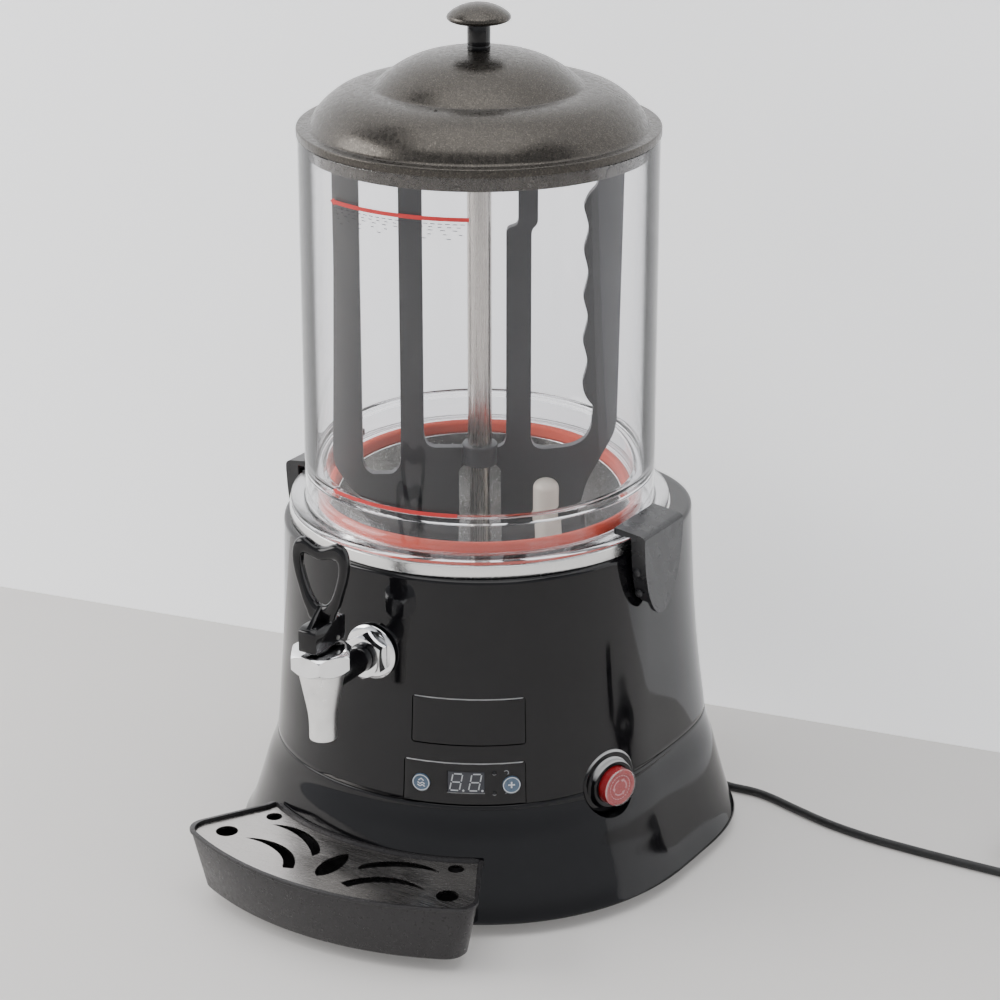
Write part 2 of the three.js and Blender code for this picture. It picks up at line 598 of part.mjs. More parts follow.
function lowerShell() {
  const outside = form(SHELL_BASE, SEAM_LOW, 0);
  let shell = cut(outside, form(SHELL_BASE - OVERRUN, SEAM_LOW + OVERRUN, WALL));
  const lipRoom = form(LIP.root - OVERRUN, LIP.top + OVERRUN, LIP.inner);
  const root = cut(form(LIP.root, LIP.middle, LIP.rootInset), lipRoom);
  const lip = cut(form(LIP.root, LIP.top, LIP.inset), lipRoom);
  shell = join(shell, root, lip);
  const notch = SEAM_LOW - LIP.notch;
  const panelRoom = sector(
    DISPLAY.start - LIP.side, DISPLAY.end + LIP.side, notch, LIP.top + OVERRUN,
  );
  shell = cut(shell, meet(panelRoom, form(notch, LIP.top + OVERRUN * 2, LIP.rootInset)));
  const roomRadius = STOP_BOSS.radius + STOP_BOSS.lipGap;
  const bossRoom = onStop(rod(roomRadius, STOP_BOSS.near, STOP_BOSS.far, MEDIUM));
  shell = cut(shell, stopRoom, meet(bossRoom, block(0, FAR, -FAR, FAR, SEAM_LOW, FAR)));
  shell = join(shell, meet(stopBoss, form(SHELL_BASE, SEAM_LOW, 0)));
  shell = cut(shell, stopPocket, stopBore);
  const gland = toFront(rod(GLAND_BOSS.radius, -GLAND_BOSS.end, -GLAND_BOSS.start, COARSE));
  shell = join(shell, gland.translate(GLAND_X, 0, GLAND_Z));
  const { bore, boreFrom, boreTo } = GLAND_BOSS;
  const glandBore = toFront(rod(bore, -boreTo, -boreFrom, COARSE));
  shell = cut(shell, glandBore.translate(GLAND_X, 0, GLAND_Z));
  for (const side of [-1, 1]) {
    const x = LUG.x * side;
    const reach = LUG.half + LUG.clearance;
    shell = cut(shell, block(
      x - reach, x + reach, LUG.cutFront, LUG.cutRear,
      LUG.low - LUG.clearance, LUG.high + LUG.clearance,
    ));
  }
  return shell;
}

function upperShell() {
  let shell = cut(
    form(SEAM_HIGH, SHELL_TOP, 0, EDGE_EASE),
    form(SEAM_HIGH - OVERRUN, SHELL_TOP - TOP_SKIN, WALL),
    rod(TOP_OPENING, SHELL_TOP - TOP_SKIN * 2, SHELL_TOP + OVERRUN, FINE),
  );
  const boardPosts = [];
  for (const side of [-1, 1]) {
    const post = rod(BOARD.postRadius, BOARD.front + GAP, THROUGH.end, SMALL);
    post.translate(BOARD.postX * side, 0, 0);
    boardPosts.push(toSide(post, BOARD.azimuth, BOARD.postZ));
  }
  const within = form(SEAM_HIGH, SHELL_TOP, WALL / 2);
  shell = join(shell, ...boardPosts.map((post) => meet(post, within)));
  for (const area of [LABEL, DISPLAY]) {
    const wedge = sector(area.start, area.end, area.low, area.high);
    shell = cut(shell, cut(wedge, form(area.low - OVERRUN, area.high + OVERRUN, RECESS)));
  }
  shell = cut(shell, windowCut(WINDOW.margin));
  for (const azimuth of [KEY.left, KEY.right]) {
    shell = cut(shell, throughSkin(KEY.wallHole, azimuth, KEY.z, COARSE));
  }
  for (const z of [LAMP.low, LAMP.high]) {
    shell = cut(shell, throughSkin(LAMP.hole, LAMP.azimuth, z, SMALL));
  }
  shell = join(shell, meet(stopBoss, form(SEAM_HIGH, SHELL_TOP, 0)));
  return cut(shell, stopPocket, stopBore, stemHole(STEM_CLEARANCE));
}

const FEET = [
  [-FOOT.x, FOOT.front], [FOOT.x, FOOT.front], [-FOOT.x, FOOT.rear], [FOOT.x, FOOT.rear],
];

function basePan() {
  let pan = form(PAN.low, PAN.high, PAN.inset);
  for (const [x, y] of FEET) {
    pan = cut(pan, rod(SCREW.clearance, 0, PAN.high + OVERRUN, SMALL).translate(x, y, 0));
  }
  for (let i = 0; i < VENT.count; i += 1) {
    const y = VENT.y + VENT.pitch * i;
    pan = cut(pan, block(
      VENT.x, VENT.x + VENT.width, y, y + VENT.height, 0, PAN.high + OVERRUN,
    ));
  }
  for (const sx of [-1, 1]) {
    for (const sy of [-1, 1]) {
      const post = rod(DRIVE_POST.radius, PAN.high - SINK, GEARBOX.low - GAP, SMALL);
      pan = join(pan, post.translate(DRIVE_POST.x * sx, DRIVE_POST.y * sy, 0));
    }
  }
  for (const x of [CONTROL.x0 + CONTROL.inset, CONTROL.x1 - CONTROL.inset]) {
    for (const y of [CONTROL.y0 + CONTROL.inset, CONTROL.y1 - CONTROL.inset]) {
      const post = rod(CONTROL.post, PAN.high - SINK, CONTROL.low - GAP, SMALL);
      pan = join(pan, post.translate(x, y, 0));
    }
  }
  return pan;
}

add('lower_shell', lowerShell(), 'gloss');
add('upper_shell', upperShell(), 'gloss');
add('base_pan', basePan(), 'satin');
FEET.forEach(([x, y], i) => {
  const foot = cut(
    turned([
      [0, 0], [FOOT.radius - FOOT.ease, 0], [FOOT.radius, FOOT.ease], [FOOT.radius, FOOT.top],
      [0, FOOT.top],
    ], COARSE),
    rod(SCREW.clearance, FOOT.boreTop, PAN.high + OVERRUN, SMALL),
  );
  add(`foot_${i + 1}`, foot.translate(x, y, 0), 'rubber');
  const head = PAN.high + GAP;
  const screw = turned([
    [0, FOOT.boreTop + GAP], [SCREW.shank, FOOT.boreTop + GAP], [SCREW.shank, head],
    [SCREW.head, head], [SCREW.head, head + SCREW.headHigh], [0, head + SCREW.headHigh],
  ], SMALL);
  add(`foot_screw_${i + 1}`, screw.translate(x, y, 0), 'steel');
});

// ---------------------------------------------------------------- tank, bowl and lid
const stemPort = toFront(rod(STEM_PORT, STEM_HOLE.start, STEM_HOLE.portEnd, COARSE))
  .translate(0, 0, STEM_PIPE.z);
add('heated_tank', cut(turned(TANK_OUTLINE), stemPort), 'steel');

function waterJacket() {
  const jacket = cut(turned(JACKET_OUTLINE, MEDIUM + 4), stemHole(STEM_CLEARANCE));
  return cut(jacket, ...[-1, 1].map((side) => rod(ELEMENT.clearance, ELEMENT.legLow, ELEMENT.z, SMALL)
    .translate(ELEMENT.legX * side, Math.sqrt(ELEMENT.ring ** 2 - ELEMENT.legX ** 2), 0)));
}

function heatingElement() {
  const gapAngle = 2 * Math.asin(ELEMENT.legX / ELEMENT.ring);
  const arc = TURN - gapAngle;
  const start = QUARTER + gapAngle / 2;
  const points = [];
  const steps = 24;
  const flat = (angle) => new THREE.Vector3(
    ELEMENT.ring * Math.cos(angle), ELEMENT.ring * Math.sin(angle), ELEMENT.z,
  );
  for (let i = 0; i <= steps; i += 1) points.push(flat(start + arc * i / steps));
  const path = new THREE.CatmullRomCurve3(points);
  const ring = alongPath(path, ELEMENT.tube, 6, 32);
  const legs = [points[0], points[steps]].map((point) => {
    const leg = rod(ELEMENT.tube, ELEMENT.legLow, ELEMENT.z + SINK * 2, 6);
    return leg.translate(point.x, point.y, 0);
  });
  return join(ring, ...legs);
}

/** A round tube along a path with closed ends. */
function alongPath(path, radius, sides, steps) {
  const outline = [];
  for (let i = 0; i < sides; i += 1) {
    const angle = TURN * i / sides;
    outline.push(new THREE.Vector2(radius * Math.cos(angle), radius * Math.sin(angle)));
  }
  return new THREE.ExtrudeGeometry(new THREE.Shape(outline), {
    steps, extrudePath: path, bevelEnabled: false,
  });
}

add('water_jacket', waterJacket(), 'steel');
add('heating_element', heatingElement(), 'steel');
add('standpipe', tube(STANDPIPE.inner, STANDPIPE.outer, STANDPIPE.low, STANDPIPE.high), 'steel');
add('tank_gasket', turned(GASKET_OUTLINE, FINE), 'red');
add('bowl', turned(BOWL_OUTLINE), 'clear', { transparent: true, opacity: 0.35 });

const ventHole = rod(VENT_HOLE.radius, VENT_HOLE.low, VENT_HOLE.high, 10);
add('lid', cut(turned(LID_OUTLINE), ventHole.translate(VENT_HOLE.x, VENT_HOLE.y, 0)), 'bronze');
add('lid_stem', turned(STEM_OUTLINE, COARSE + 4), 'gloss');
add('lid_knob', turned(KNOB_OUTLINE, MEDIUM), 'bronze');
add('lid_screw', turned(LID_SCREW_OUTLINE, SMALL), 'steel');

// ---------------------------------------------------------------- stirrer and drive
function inStirPlane(geometry) {
  return geometry.rotateZ(STIR_AZIMUTH * DEG);
}

function stirrerFrame() {
  let frame = frontSheet(STIR_OUTER, STIR_THICK);
  for (const gap of [STIR_LEFT_GAP, STIR_MIDDLE_GAP, STIR_RIGHT_GAP]) {
    frame = cut(frame, frontSheet(gap, STIR_THICK + OVERRUN));
  }
  frame = join(frame, rod(RING.outer, RING.low, RING.high, 24));
  frame = join(frame, rod(HUB.radius, HUB.low, HUB.sleeveTop, 24));
  frame = cut(frame, rod(RING.inner, RING.low - OVERRUN, RING.high + OVERRUN, COARSE));
  frame = cut(frame, rod(HUB.bore, HUB.low - HUB.room, HUB.boreTop, COARSE));
  const room = rod(SLEEVE.outer + GAP, HUB.low - HUB.room, HUB.low, COARSE);
  return inStirPlane(cut(frame, room));
}

function stirrerPeg() {
  const outline = [
    [0, PEG.low], [PEG.radius, PEG.low], [PEG.radius, PEG.shoulder],
    [PEG.radius * 0.86, PEG.shoulder + (PEG.top - PEG.shoulder) * 0.55],
    [PEG.radius * 0.5, PEG.shoulder + (PEG.top - PEG.shoulder) * 0.88], [0, PEG.top],
  ];
  return inStirPlane(turned(outline, COARSE).translate(PEG.along, -PEG.out, 0));
}

add('stirrer_frame', stirrerFrame(), 'grey');
add('stirrer_sleeve', tube(SLEEVE.inner, SLEEVE.outer, SLEEVE.low, SLEEVE.high, 24), 'steel');
add('stirrer_peg', stirrerPeg(), 'cream');
add('drive_shaft', rod(SHAFT.radius, SHAFT.low, SHAFT.high, COARSE), 'steel');
add('gearbox', cut(
  block(-GEARBOX.x, GEARBOX.x, -GEARBOX.y, GEARBOX.y, GEARBOX.low, GEARBOX.high),
  rod(GEARBOX.bore, SHAFT.low - GAP, GEARBOX.high + OVERRUN, COARSE),
), 'silver');
add('motor', turned([
  [0, MOTOR.capLow], [MOTOR.cap, MOTOR.capLow], [MOTOR.radius, MOTOR.low],
  [MOTOR.radius, MOTOR.high], [0, MOTOR.high],
], 24), 'steel');

// ---------------------------------------------------------------- tap
function tapBody() {
  const socket = rod(STEM_CLEARANCE, TAP_SOCKET.start, TAP_SOCKET.end, COARSE);
  const body = turned(TAP_OUTLINE, MEDIUM).translate(0, TAP_Y, 0);
  return cut(body, toFront(socket).translate(0, 0, STEM_PIPE.z));
}

function tapNut() {
  const rounded = turned([
    [STEM_CLEARANCE, NUT.start], [NUT.flats / 2 + NUT.chamfer, NUT.start],
    [NUT.corner, NUT.start + NUT.chamfer], [NUT.corner, NUT.end - NUT.chamfer],
    [NUT.flats / 2, NUT.end], [STEM_CLEARANCE, NUT.end],
  ], 24);
  const nut = meet(rounded, hexagon(NUT.flats, NUT.start - OVERRUN, NUT.end + OVERRUN));
  return toFront(nut).translate(0, 0, STEM_PIPE.z);
}

function tapBonnet() {
  const bonnet = meet(turned(BONNET_OUTLINE, MEDIUM), hexagon(BONNET.flats, BONNET.low, BONNET.high));
  return bonnet.translate(0, TAP_Y, 0);
}

function tapHandle() {
  const loop = cut(
    frontSheet(bothHalves(LOOP_OUTER), LOOP_DEEP),
    frontSheet(bothHalves(LOOP_INNER), LOOP_DEEP + OVERRUN),
  ).translate(0, LOOP_FRONT + LOOP_DEEP / 2, 0);
  const side = [
    [BLOCK.front, BLOCK.low], [BLOCK.rear, BLOCK.low], [BLOCK.rear, BLOCK.high],
    [BLOCK.front + BLOCK.slope, BLOCK.high], [BLOCK.front, BLOCK.high - BLOCK.slope / 2],
  ];
  let handle = sideSheet(side, -BLOCK.half, BLOCK.half * 2);
  const fin = [
    [FIN.front, FIN.low], [FIN.rear, FIN.low], [FIN.rear, FIN.high],
  ];
  handle = join(handle, loop, sideSheet(fin, -FIN.half, FIN.half * 2));
  handle = cut(handle, block(
    -SLOT.half, SLOT.half, SLOT.front, SLOT.rear, BLOCK.low - OVERRUN, SLOT.high,
  ));
  const hole = sideRod(PIN.hole, -PIN.half - OVERRUN, PIN.half + OVERRUN, SMALL)
    .translate(0, PIN.y, PIN.z);
  return cut(handle, hole);
}

/** A rod along X. */
function sideRod(radius, start, end, segments = SMALL) {
  return rod(radius, start, end, segments).rotateY(QUARTER);
}

function tapPlunger() {
  const stemRod = turned([
    [0, PLUNGER.low], [PLUNGER.disc, PLUNGER.low], [PLUNGER.disc, PLUNGER.discTop],
    [PLUNGER.rod, PLUNGER.discTop], [PLUNGER.rod, PLUNGER.top], [0, PLUNGER.top],
  ], SMALL).translate(0, TAP_Y, 0);
  const neck = block(
    -CROSSHEAD.half, CROSSHEAD.half, CROSSHEAD.front, CROSSHEAD.rear, CROSSHEAD.low, CROSSHEAD.high,
  );
  const hole = block(
    -PIN.half, PIN.half, CROSS_HOLE.front, CROSS_HOLE.rear, CROSS_HOLE.low, CROSS_HOLE.high,
  );
  const head = meet(stemRod, block(
    -CROSSHEAD.half, CROSSHEAD.half, TAP_Y - PLUNGER.disc, TAP_Y + PLUNGER.disc,
    PLUNGER.flatFrom - SINK, PLUNGER.top,
  ));
  const reach = PLUNGER.disc + OVERRUN;
  const lower = meet(stemRod, block(
    -reach, reach, TAP_Y - reach, TAP_Y + reach, PLUNGER.low - OVERRUN, PLUNGER.flatFrom,
  ));
  return cut(join(lower, head, neck), hole);
}

add('tap_stem', toFront(tube(
  STEM_PIPE.inner, STEM_PIPE.outer, STEM_PIPE.start, STEM_PIPE.end, COARSE,
)).translate(0, 0, STEM_PIPE.z), 'gloss');
add('tap_escutcheon', toFront(turned(ESCUTCHEON_OUTLINE, MEDIUM)).translate(0, 0, STEM_PIPE.z), 'chrome');
add('tap_nut', tapNut(), 'chrome');
add('tap_body', tapBody(), 'silver');
add('tap_bonnet', tapBonnet(), 'chrome');
add('tap_handle', tapHandle(), 'gloss');
add('tap_pin', sideRod(PIN.radius, -PIN.half, PIN.half).translate(0, PIN.y, PIN.z), 'steel');
add('tap_plunger', tapPlunger(), 'steel');
add('tap_seat', turned(SEAT_OUTLINE, COARSE).translate(0, TAP_Y, 0), 'rubber');

// ---------------------------------------------------------------- drip tray
/** The tray's outline moved in by an inset, from the rear right corner round to the left. */
function trayOutline(inset) {
  const side = [];
  const angle = TRAY.azimuth * DEG;
  const along = [Math.sin(angle), -Math.cos(angle)];
  const inward = [-Math.cos(angle), -Math.sin(angle)];
  const shift = inset - TRAY.offset;
  const point = (forward, sideways) => [
    along[0] * forward + inward[0] * sideways, along[1] * forward + inward[1] * sideways,
  ];
  const steps = 5;
  const rear = TRAY.rearCorner;
  const rearY = TRAY.rearY;
  const rearForward = (-rearY + rear + inward[1] * (shift + rear)) / -along[1];
  const rearMiddle = point(rearForward, shift + rear);
  for (let i = 0; i <= steps; i += 1) {
    const turn = (QUARTER - angle) * i / steps + angle;
    const out = QUARTER - turn;
    side.push([
      rearMiddle[0] + rear * Math.cos(out - angle + angle * i / steps),
      rearMiddle[1] + rear * Math.sin(out - angle + angle * i / steps),
    ]);
  }
  const corner = TRAY.corner;
  const distance = TRAY.reach - inset - corner;
  const forward = Math.sqrt(distance ** 2 - (shift + corner) ** 2);
  const middle = point(forward, shift + corner);
  const end = Math.atan2(middle[0], -middle[1]);
  for (let i = 0; i <= steps; i += 1) {
    const from = angle + QUARTER;
    const bearing = from + (end - from) * i / steps;
    side.push([
      middle[0] + corner * Math.sin(bearing), middle[1] - corner * Math.cos(bearing),
    ]);
  }
  const arcSteps = 9;
  for (let i = 1; i < arcSteps; i += 1) {
    const bearing = end * (1 - i / arcSteps);
    const reach = TRAY.reach - inset;
    side.push([reach * Math.sin(bearing), -reach * Math.cos(bearing)]);
  }
  const left = mirrored(side).reverse();
  return [...side, [0, -(TRAY.reach - inset)], ...left];
}

function trayForm(low, high, lowInset, highInset) {
  return stack([
    { z: low, points: trayOutline(lowInset) }, { z: high, points: trayOutline(highInset) },
  ]);
}

/** The housing's form past the whole height of the tray, moved in by an inset. */
function housing(inset) {
  return form(TRAY.low - OVERRUN, TRAY.top + OVERRUN, inset);
}

function dripTray() {
  const slope = TRAY.taper / (TRAY.rimLow - TRAY.low);
  const insetAt = (z) => TRAY.rim + (TRAY.rimLow - z) * slope;
  const outside = join(
    trayForm(TRAY.low, TRAY.rimLow, insetAt(TRAY.low), TRAY.rim),
    trayForm(TRAY.rimLow - SINK, TRAY.top, 0, 0),
  );
  const lowHollow = trayForm(
    TRAY.floor, TRAY.ledge, insetAt(TRAY.floor) + TRAY.wall, TRAY.ledgeWall,
  );
  const highHollow = trayForm(TRAY.ledge - SINK, TRAY.top + OVERRUN, TRAY.wall, TRAY.wall);
  let tray = cut(
    outside,
    cut(lowHollow, housing(-TRAY.standoff - TRAY.rearLedge)),
    cut(highHollow, housing(-TRAY.standoff - TRAY.rearWall)),
    housing(-TRAY.standoff),
  );
  for (const side of [-1, 1]) {
    const x = LUG.x * side;
    tray = join(tray, block(
      x - LUG.half, x + LUG.half, LUG.front, LUG.rear, LUG.low, LUG.high,
    ));
  }
  return tray;
}

/** A place on the grille from its azimuth and its share of the way to the tray's front. */
function onGrille([azimuth, share]) {
  const near = reachAt(azimuth, GRILLE.low) + GRILLE.standoff;
  const reach = near + (TRAY.reach - near) * share;
  return [reach * Math.sin(azimuth * DEG), -reach * Math.cos(azimuth * DEG)];
}

function dripGrille() {
  let plate = cut(
    trayForm(GRILLE.low, GRILLE.high, GRILLE.inset, GRILLE.inset),
    housing(-GRILLE.standoff),
  );
  const thick = GRILLE.high - GRILLE.low + OVERRUN * 2;
  const low = GRILLE.low - OVERRUN;
  const slots = [
    OUTER_SLOT, INNER_SLOT, mirrored(OUTER_SLOT), mirrored(INNER_SLOT), LEAF_SLOT,
  ];
  for (const slot of slots) {
    plate = cut(plate, sheet(slot.map(onGrille), thick).translate(0, 0, low));
  }
  for (const side of [-1, 1]) {
    for (const [azimuth, share, radius] of GRILLE_HOLES) {
      const [x, y] = onGrille([azimuth * side, share]);
      plate = cut(plate, rod(radius, low, low + thick, COARSE).translate(x, y, 0));
    }
  }
  return plate;
}

add('drip_tray', dripTray(), 'tray');
add('drip_grille', dripGrille(), 'steel');

// ---------------------------------------------------------------- panel pieces
/** A curved plate that fills a recess with a gap at every side. */
function curvedPlate(area, low) {
  const side = GAP / reachAt(0, area.low) / DEG;
  const wedge = sector(area.start + side, area.end - side, low, area.high - GAP);
  return skin(wedge, low, area.high, 0, PLATE);
}

function displayPanel() {
  let panel = curvedPlate(DISPLAY, DISPLAY.plateLow);
  panel = cut(panel, windowCut(0));
  for (const azimuth of [KEY.left, KEY.right]) {
    panel = cut(panel, throughSkin(KEY.hole, azimuth, KEY.z, COARSE));
  }
  for (const z of [LAMP.low, LAMP.high]) {
    panel = cut(panel, throughSkin(LAMP.hole, LAMP.azimuth, z, SMALL));
  }
  return panel;
}

function displayBoard() {
  const onBoard = (geometry, z) => toSide(geometry, BOARD.azimuth, z);
  const middle = (BOARD.low + BOARD.high) / 2;
  const half = (BOARD.high - BOARD.low) / 2;
  let board = onBoard(block(
    -BOARD.half, BOARD.half, -half, half, BOARD.front - BOARD.thick, BOARD.front,
  ), middle);
  const face = reachAt(WINDOW.azimuth, KEY.z) - BOARD.blockSunk;
  const clear = WINDOW.clearance;
  const screen = block(
    -WINDOW.half + clear, WINDOW.half - clear, WINDOW.low + clear - STOP_Z,
    WINDOW.high - clear - STOP_Z, BOARD.front - SINK, face,
  );
  board = join(board, toSide(screen, WINDOW.azimuth, STOP_Z));
  for (const side of [-1, 1]) {
    const x = SWITCH.off * side;
    const button = block(
      x - SWITCH.half, x + SWITCH.half, -SWITCH.half, SWITCH.half,
      BOARD.front - SINK, BOARD.front + SWITCH.deep,
    );
    board = join(board, onBoard(button, KEY.z));
  }
  for (const z of [LAMP.low, LAMP.high]) {
    const end = reachAt(LAMP.azimuth, z) - LAMP.sunk;
    board = join(board, toSide(rod(LAMP.radius, BOARD.front - SINK, end, 10), LAMP.azimuth, z));
  }
  return board;
}

function key(azimuth) {
  const face = reachAt(azimuth, KEY.z);
  const top = face + KEY_PROUD;
  const outline = [
    [0, KEY_END], [KEY_STUB, KEY_END], [KEY_STUB, face - KEY_FLANGE.back],
    [KEY_FLANGE.radius, face - KEY_FLANGE.back], [KEY_FLANGE.radius, face - KEY_FLANGE.front],
    [KEY.radius, face - KEY_FLANGE.front], [KEY.radius, top - KEY.ease], [KEY.radius - KEY.ease, top],
    [0, top],
  ];
  return toSide(turned(outline, COARSE), azimuth, KEY.z);
}

add('display_panel', displayPanel(), 'gloss');
add('display_board', displayBoard(), 'board');
add('button_left', key(KEY.left), 'blue');
add('button_right', key(KEY.right), 'blue');
add('label_plate', curvedPlate(LABEL, LABEL.low + GAP), 'gloss');
add('stop_bezel', toSide(turned(BEZEL_OUTLINE, MEDIUM), STOP_AZIMUTH, STOP_Z), 'gloss');
add('stop_nut', toSide(tube(
  STOP_NUT.inner, STOP_NUT.outer, STOP_NUT.start, STOP_NUT.end, 24,
), STOP_AZIMUTH, STOP_Z), 'satin');
add('stop_button', toSide(turned(STOP_BUTTON_OUTLINE, 24), STOP_AZIMUTH, STOP_Z), 'red');
add('stop_lens', toSide(turned(STOP_LENS_OUTLINE, 24), STOP_AZIMUTH, STOP_Z), 'clear', {
  transparent: true, opacity: 0.5,
});
add('stop_contact_block', toSide(block(
  -CONTACT.half, CONTACT.half, -CONTACT.high, CONTACT.high, CONTACT.start, CONTACT.end,
), STOP_AZIMUTH, STOP_Z), 'satin');

// ---------------------------------------------------------------- latches
/** A rod along Y. */
function crossRod(radius, half, segments = SMALL) {
  return rod(radius, -half, half, segments).rotateX(QUARTER);
}

function latch() {
  const { side, inside, outside } = LATCH_X;
  let body = sideSheet(LATCH_OUTLINE, side, outside - side);
  body = cut(body, sideSheet(LATCH_INSIDE, side - OVERRUN, inside - side + OVERRUN));
  body = cut(body, frontSheet(LATCH_TRIM, (HOOK_HALF + OVERRUN) * 2));
  const hook = frontSheet(HOOK_PROFILE, HOOK_HALF * 2);
  body = join(body, hook);
  const rivet = crossRod(RIVET.radius, RIVET.half);
  const heads = [-1, 1].map((end) => crossRod(RIVET.head, RIVET.headThick / 2)
    .translate(0, RIVET.headAt * end, 0));
  body = join(body, join(rivet, ...heads).translate(PIVOT.x, 0, RIVET.z));
  return cut(body, crossRod(PIVOT.hole, HOOK_HALF + OVERRUN).translate(PIVOT.x, 0, PIVOT.z));
}

function latchBracket() {
  const back = block(
    BRACKET.back, BRACKET.plate, -BRACKET.half, BRACKET.half, BRACKET.low, BRACKET.high,
  );
  const ears = [-1, 1].map((side) => {
    const deep = (BRACKET.half - BRACKET.ear) / 2;
    const middle = (BRACKET.half + BRACKET.ear) / 2 * side;
    const web = block(
      BRACKET.plate - SINK, PIVOT.x, middle - deep, middle + deep,
      PIVOT.z - BRACKET.eye, PIVOT.z + BRACKET.eye,
    );
    const eye = crossRod(BRACKET.eye, deep).translate(PIVOT.x, middle, PIVOT.z);
    return join(web, eye);
  });
  return cut(join(back, ...ears), crossRod(PIVOT.hole, HOOK_HALF + OVERRUN).translate(PIVOT.x, 0, PIVOT.z));
}

function latchPin() {
  const heads = [-1, 1].map((end) => crossRod(PIVOT.head, RIVET.headThick / 2)
    .translate(0, PIVOT.headAt * end, 0));
  return join(crossRod(PIVOT.radius, PIVOT.half), ...heads).translate(PIVOT.x, 0, PIVOT.z);
}

for (const [word, side] of [['right', 1], ['left', -1]]) {
  add(`latch_${word}`, latch().scale(side, 1, 1), 'satin');
  add(`latch_bracket_${word}`, latchBracket().scale(side, 1, 1), 'satin');
  add(`latch_pin_${word}`, latchPin().scale(side, 1, 1), 'steel');
}

// ---------------------------------------------------------------- electrics and cord
function controlBoard() {
  let board = block(
    CONTROL.x0, CONTROL.x1, CONTROL.y0, CONTROL.y1, CONTROL.low, CONTROL.low + CONTROL.thick,
  );
  for (const [x0, x1, y0, y1, high] of CONTROL_PARTS) {
    board = join(board, block(
      x0, x1, y0, y1, CONTROL.low + CONTROL.thick - SINK, CONTROL.low + CONTROL.thick + high,
    ));
  }
  return board;
}

const vector = ([x, y, z]) => new THREE.Vector3(x, y, z);

/** A round tube through given points with rings that never twist, capped at both ends. */
function looseTube(points, radius, sides) {
  const positions = [];
  const index = [];
  const tangentAt = (i) => {
    const before = points[Math.max(i - 1, 0)];
    const after = points[Math.min(i + 1, points.length - 1)];
    return after.clone().sub(before).normalize();
  };
  const side = new THREE.Vector3();
  const up = new THREE.Vector3(0, 0, 1);
  points.forEach((point, i) => {
    const tangent = tangentAt(i);
    side.crossVectors(up, tangent).normalize();
    const over = new THREE.Vector3().crossVectors(tangent, side).normalize();
    for (let k = 0; k < sides; k += 1) {
      const angle = TURN * k / sides;
      const at = point.clone();
      at.addScaledVector(side, radius * Math.cos(angle));
      at.addScaledVector(over, radius * Math.sin(angle));
      positions.push(at.x, at.y, at.z);
    }
  });
  for (let i = 0; i + 1 < points.length; i += 1) {
    for (let k = 0; k < sides; k += 1) {
      const a = i * sides + k;
      const b = i * sides + (k + 1) % sides;
      index.push(a, b, b + sides, a, b + sides, a + sides);
    }
  }
  for (const end of [0, points.length - 1]) {
    const middle = positions.length / 3;
    positions.push(points[end].x, points[end].y, points[end].z);
    for (let k = 0; k < sides; k += 1) {
      const a = end * sides + k;
      const b = end * sides + (k + 1) % sides;
      if (end === 0) index.push(b, a, middle);
      else index.push(a, b, middle);
    }
  }
  const geometry = new THREE.BufferGeometry();
  geometry.setAttribute('position', new THREE.Float32BufferAttribute(positions, 3));
  geometry.setIndex(index);
  return geometry;
}

/** The coil's middle line: in on the floor, up, out on top, then away to the plug. */
function coilPoints() {
  const points = [];
  const turns = COIL_TURNS[COIL_TURNS.length - 1][0];
  const steps = Math.round(turns * COIL.stepsPerTurn);
  for (let i = 0; i <= steps; i += 1) {
    const turn = i / COIL.stepsPerTurn;
    const angle = -QUARTER + turn * TURN;
    const next = Math.max(1, COIL_TURNS.findIndex(([at]) => at >= turn));
    const [from, startRadius, startZ] = COIL_TURNS[next - 1];
    const [to, endRadius, endZ] = COIL_TURNS[next];
    const share = (turn - from) / (to - from);
    const radius = THREE.MathUtils.lerp(startRadius, endRadius, share);
    const z = THREE.MathUtils.lerp(startZ, endZ, THREE.MathUtils.smoothstep(share, 0, 1));
    points.push(new THREE.Vector3(
      COIL.x + radius * Math.cos(angle), COIL.y + radius * Math.sin(angle), z,
    ));
  }
  const first = points[0];
  points.unshift(new THREE.Vector3(first.x - COIL.lead, first.y, first.z));
  const last = points[points.length - 1];
  for (const [x, y, z] of COIL_EXIT) points.push(new THREE.Vector3(last.x + x, last.y + y, z));
  return points;
}

/** The least space between two stretches of a tube that are not next to each other. */
function leastGap(points, radius, apart) {
  let least = FAR;
  const along = [0];
  for (let i = 1; i < points.length; i += 1) {
    along.push(along[i - 1] + points[i].distanceTo(points[i - 1]));
  }
  for (let i = 0; i + 1 < points.length; i += 1) {
    for (let k = i + 1; k + 1 < points.length; k += 1) {
      if (along[k] - along[i + 1] < apart) continue;
      for (let s = 0; s <= 4; s += 1) {
        const at = points[i].clone().lerp(points[i + 1], s / 4);
        const line = new THREE.Line3(points[k], points[k + 1]);
        const near = line.closestPointToPoint(at, true, new THREE.Vector3());
        least = Math.min(least, near.distanceTo(at) - 2 * radius);
      }
    }
  }
  return least;
}

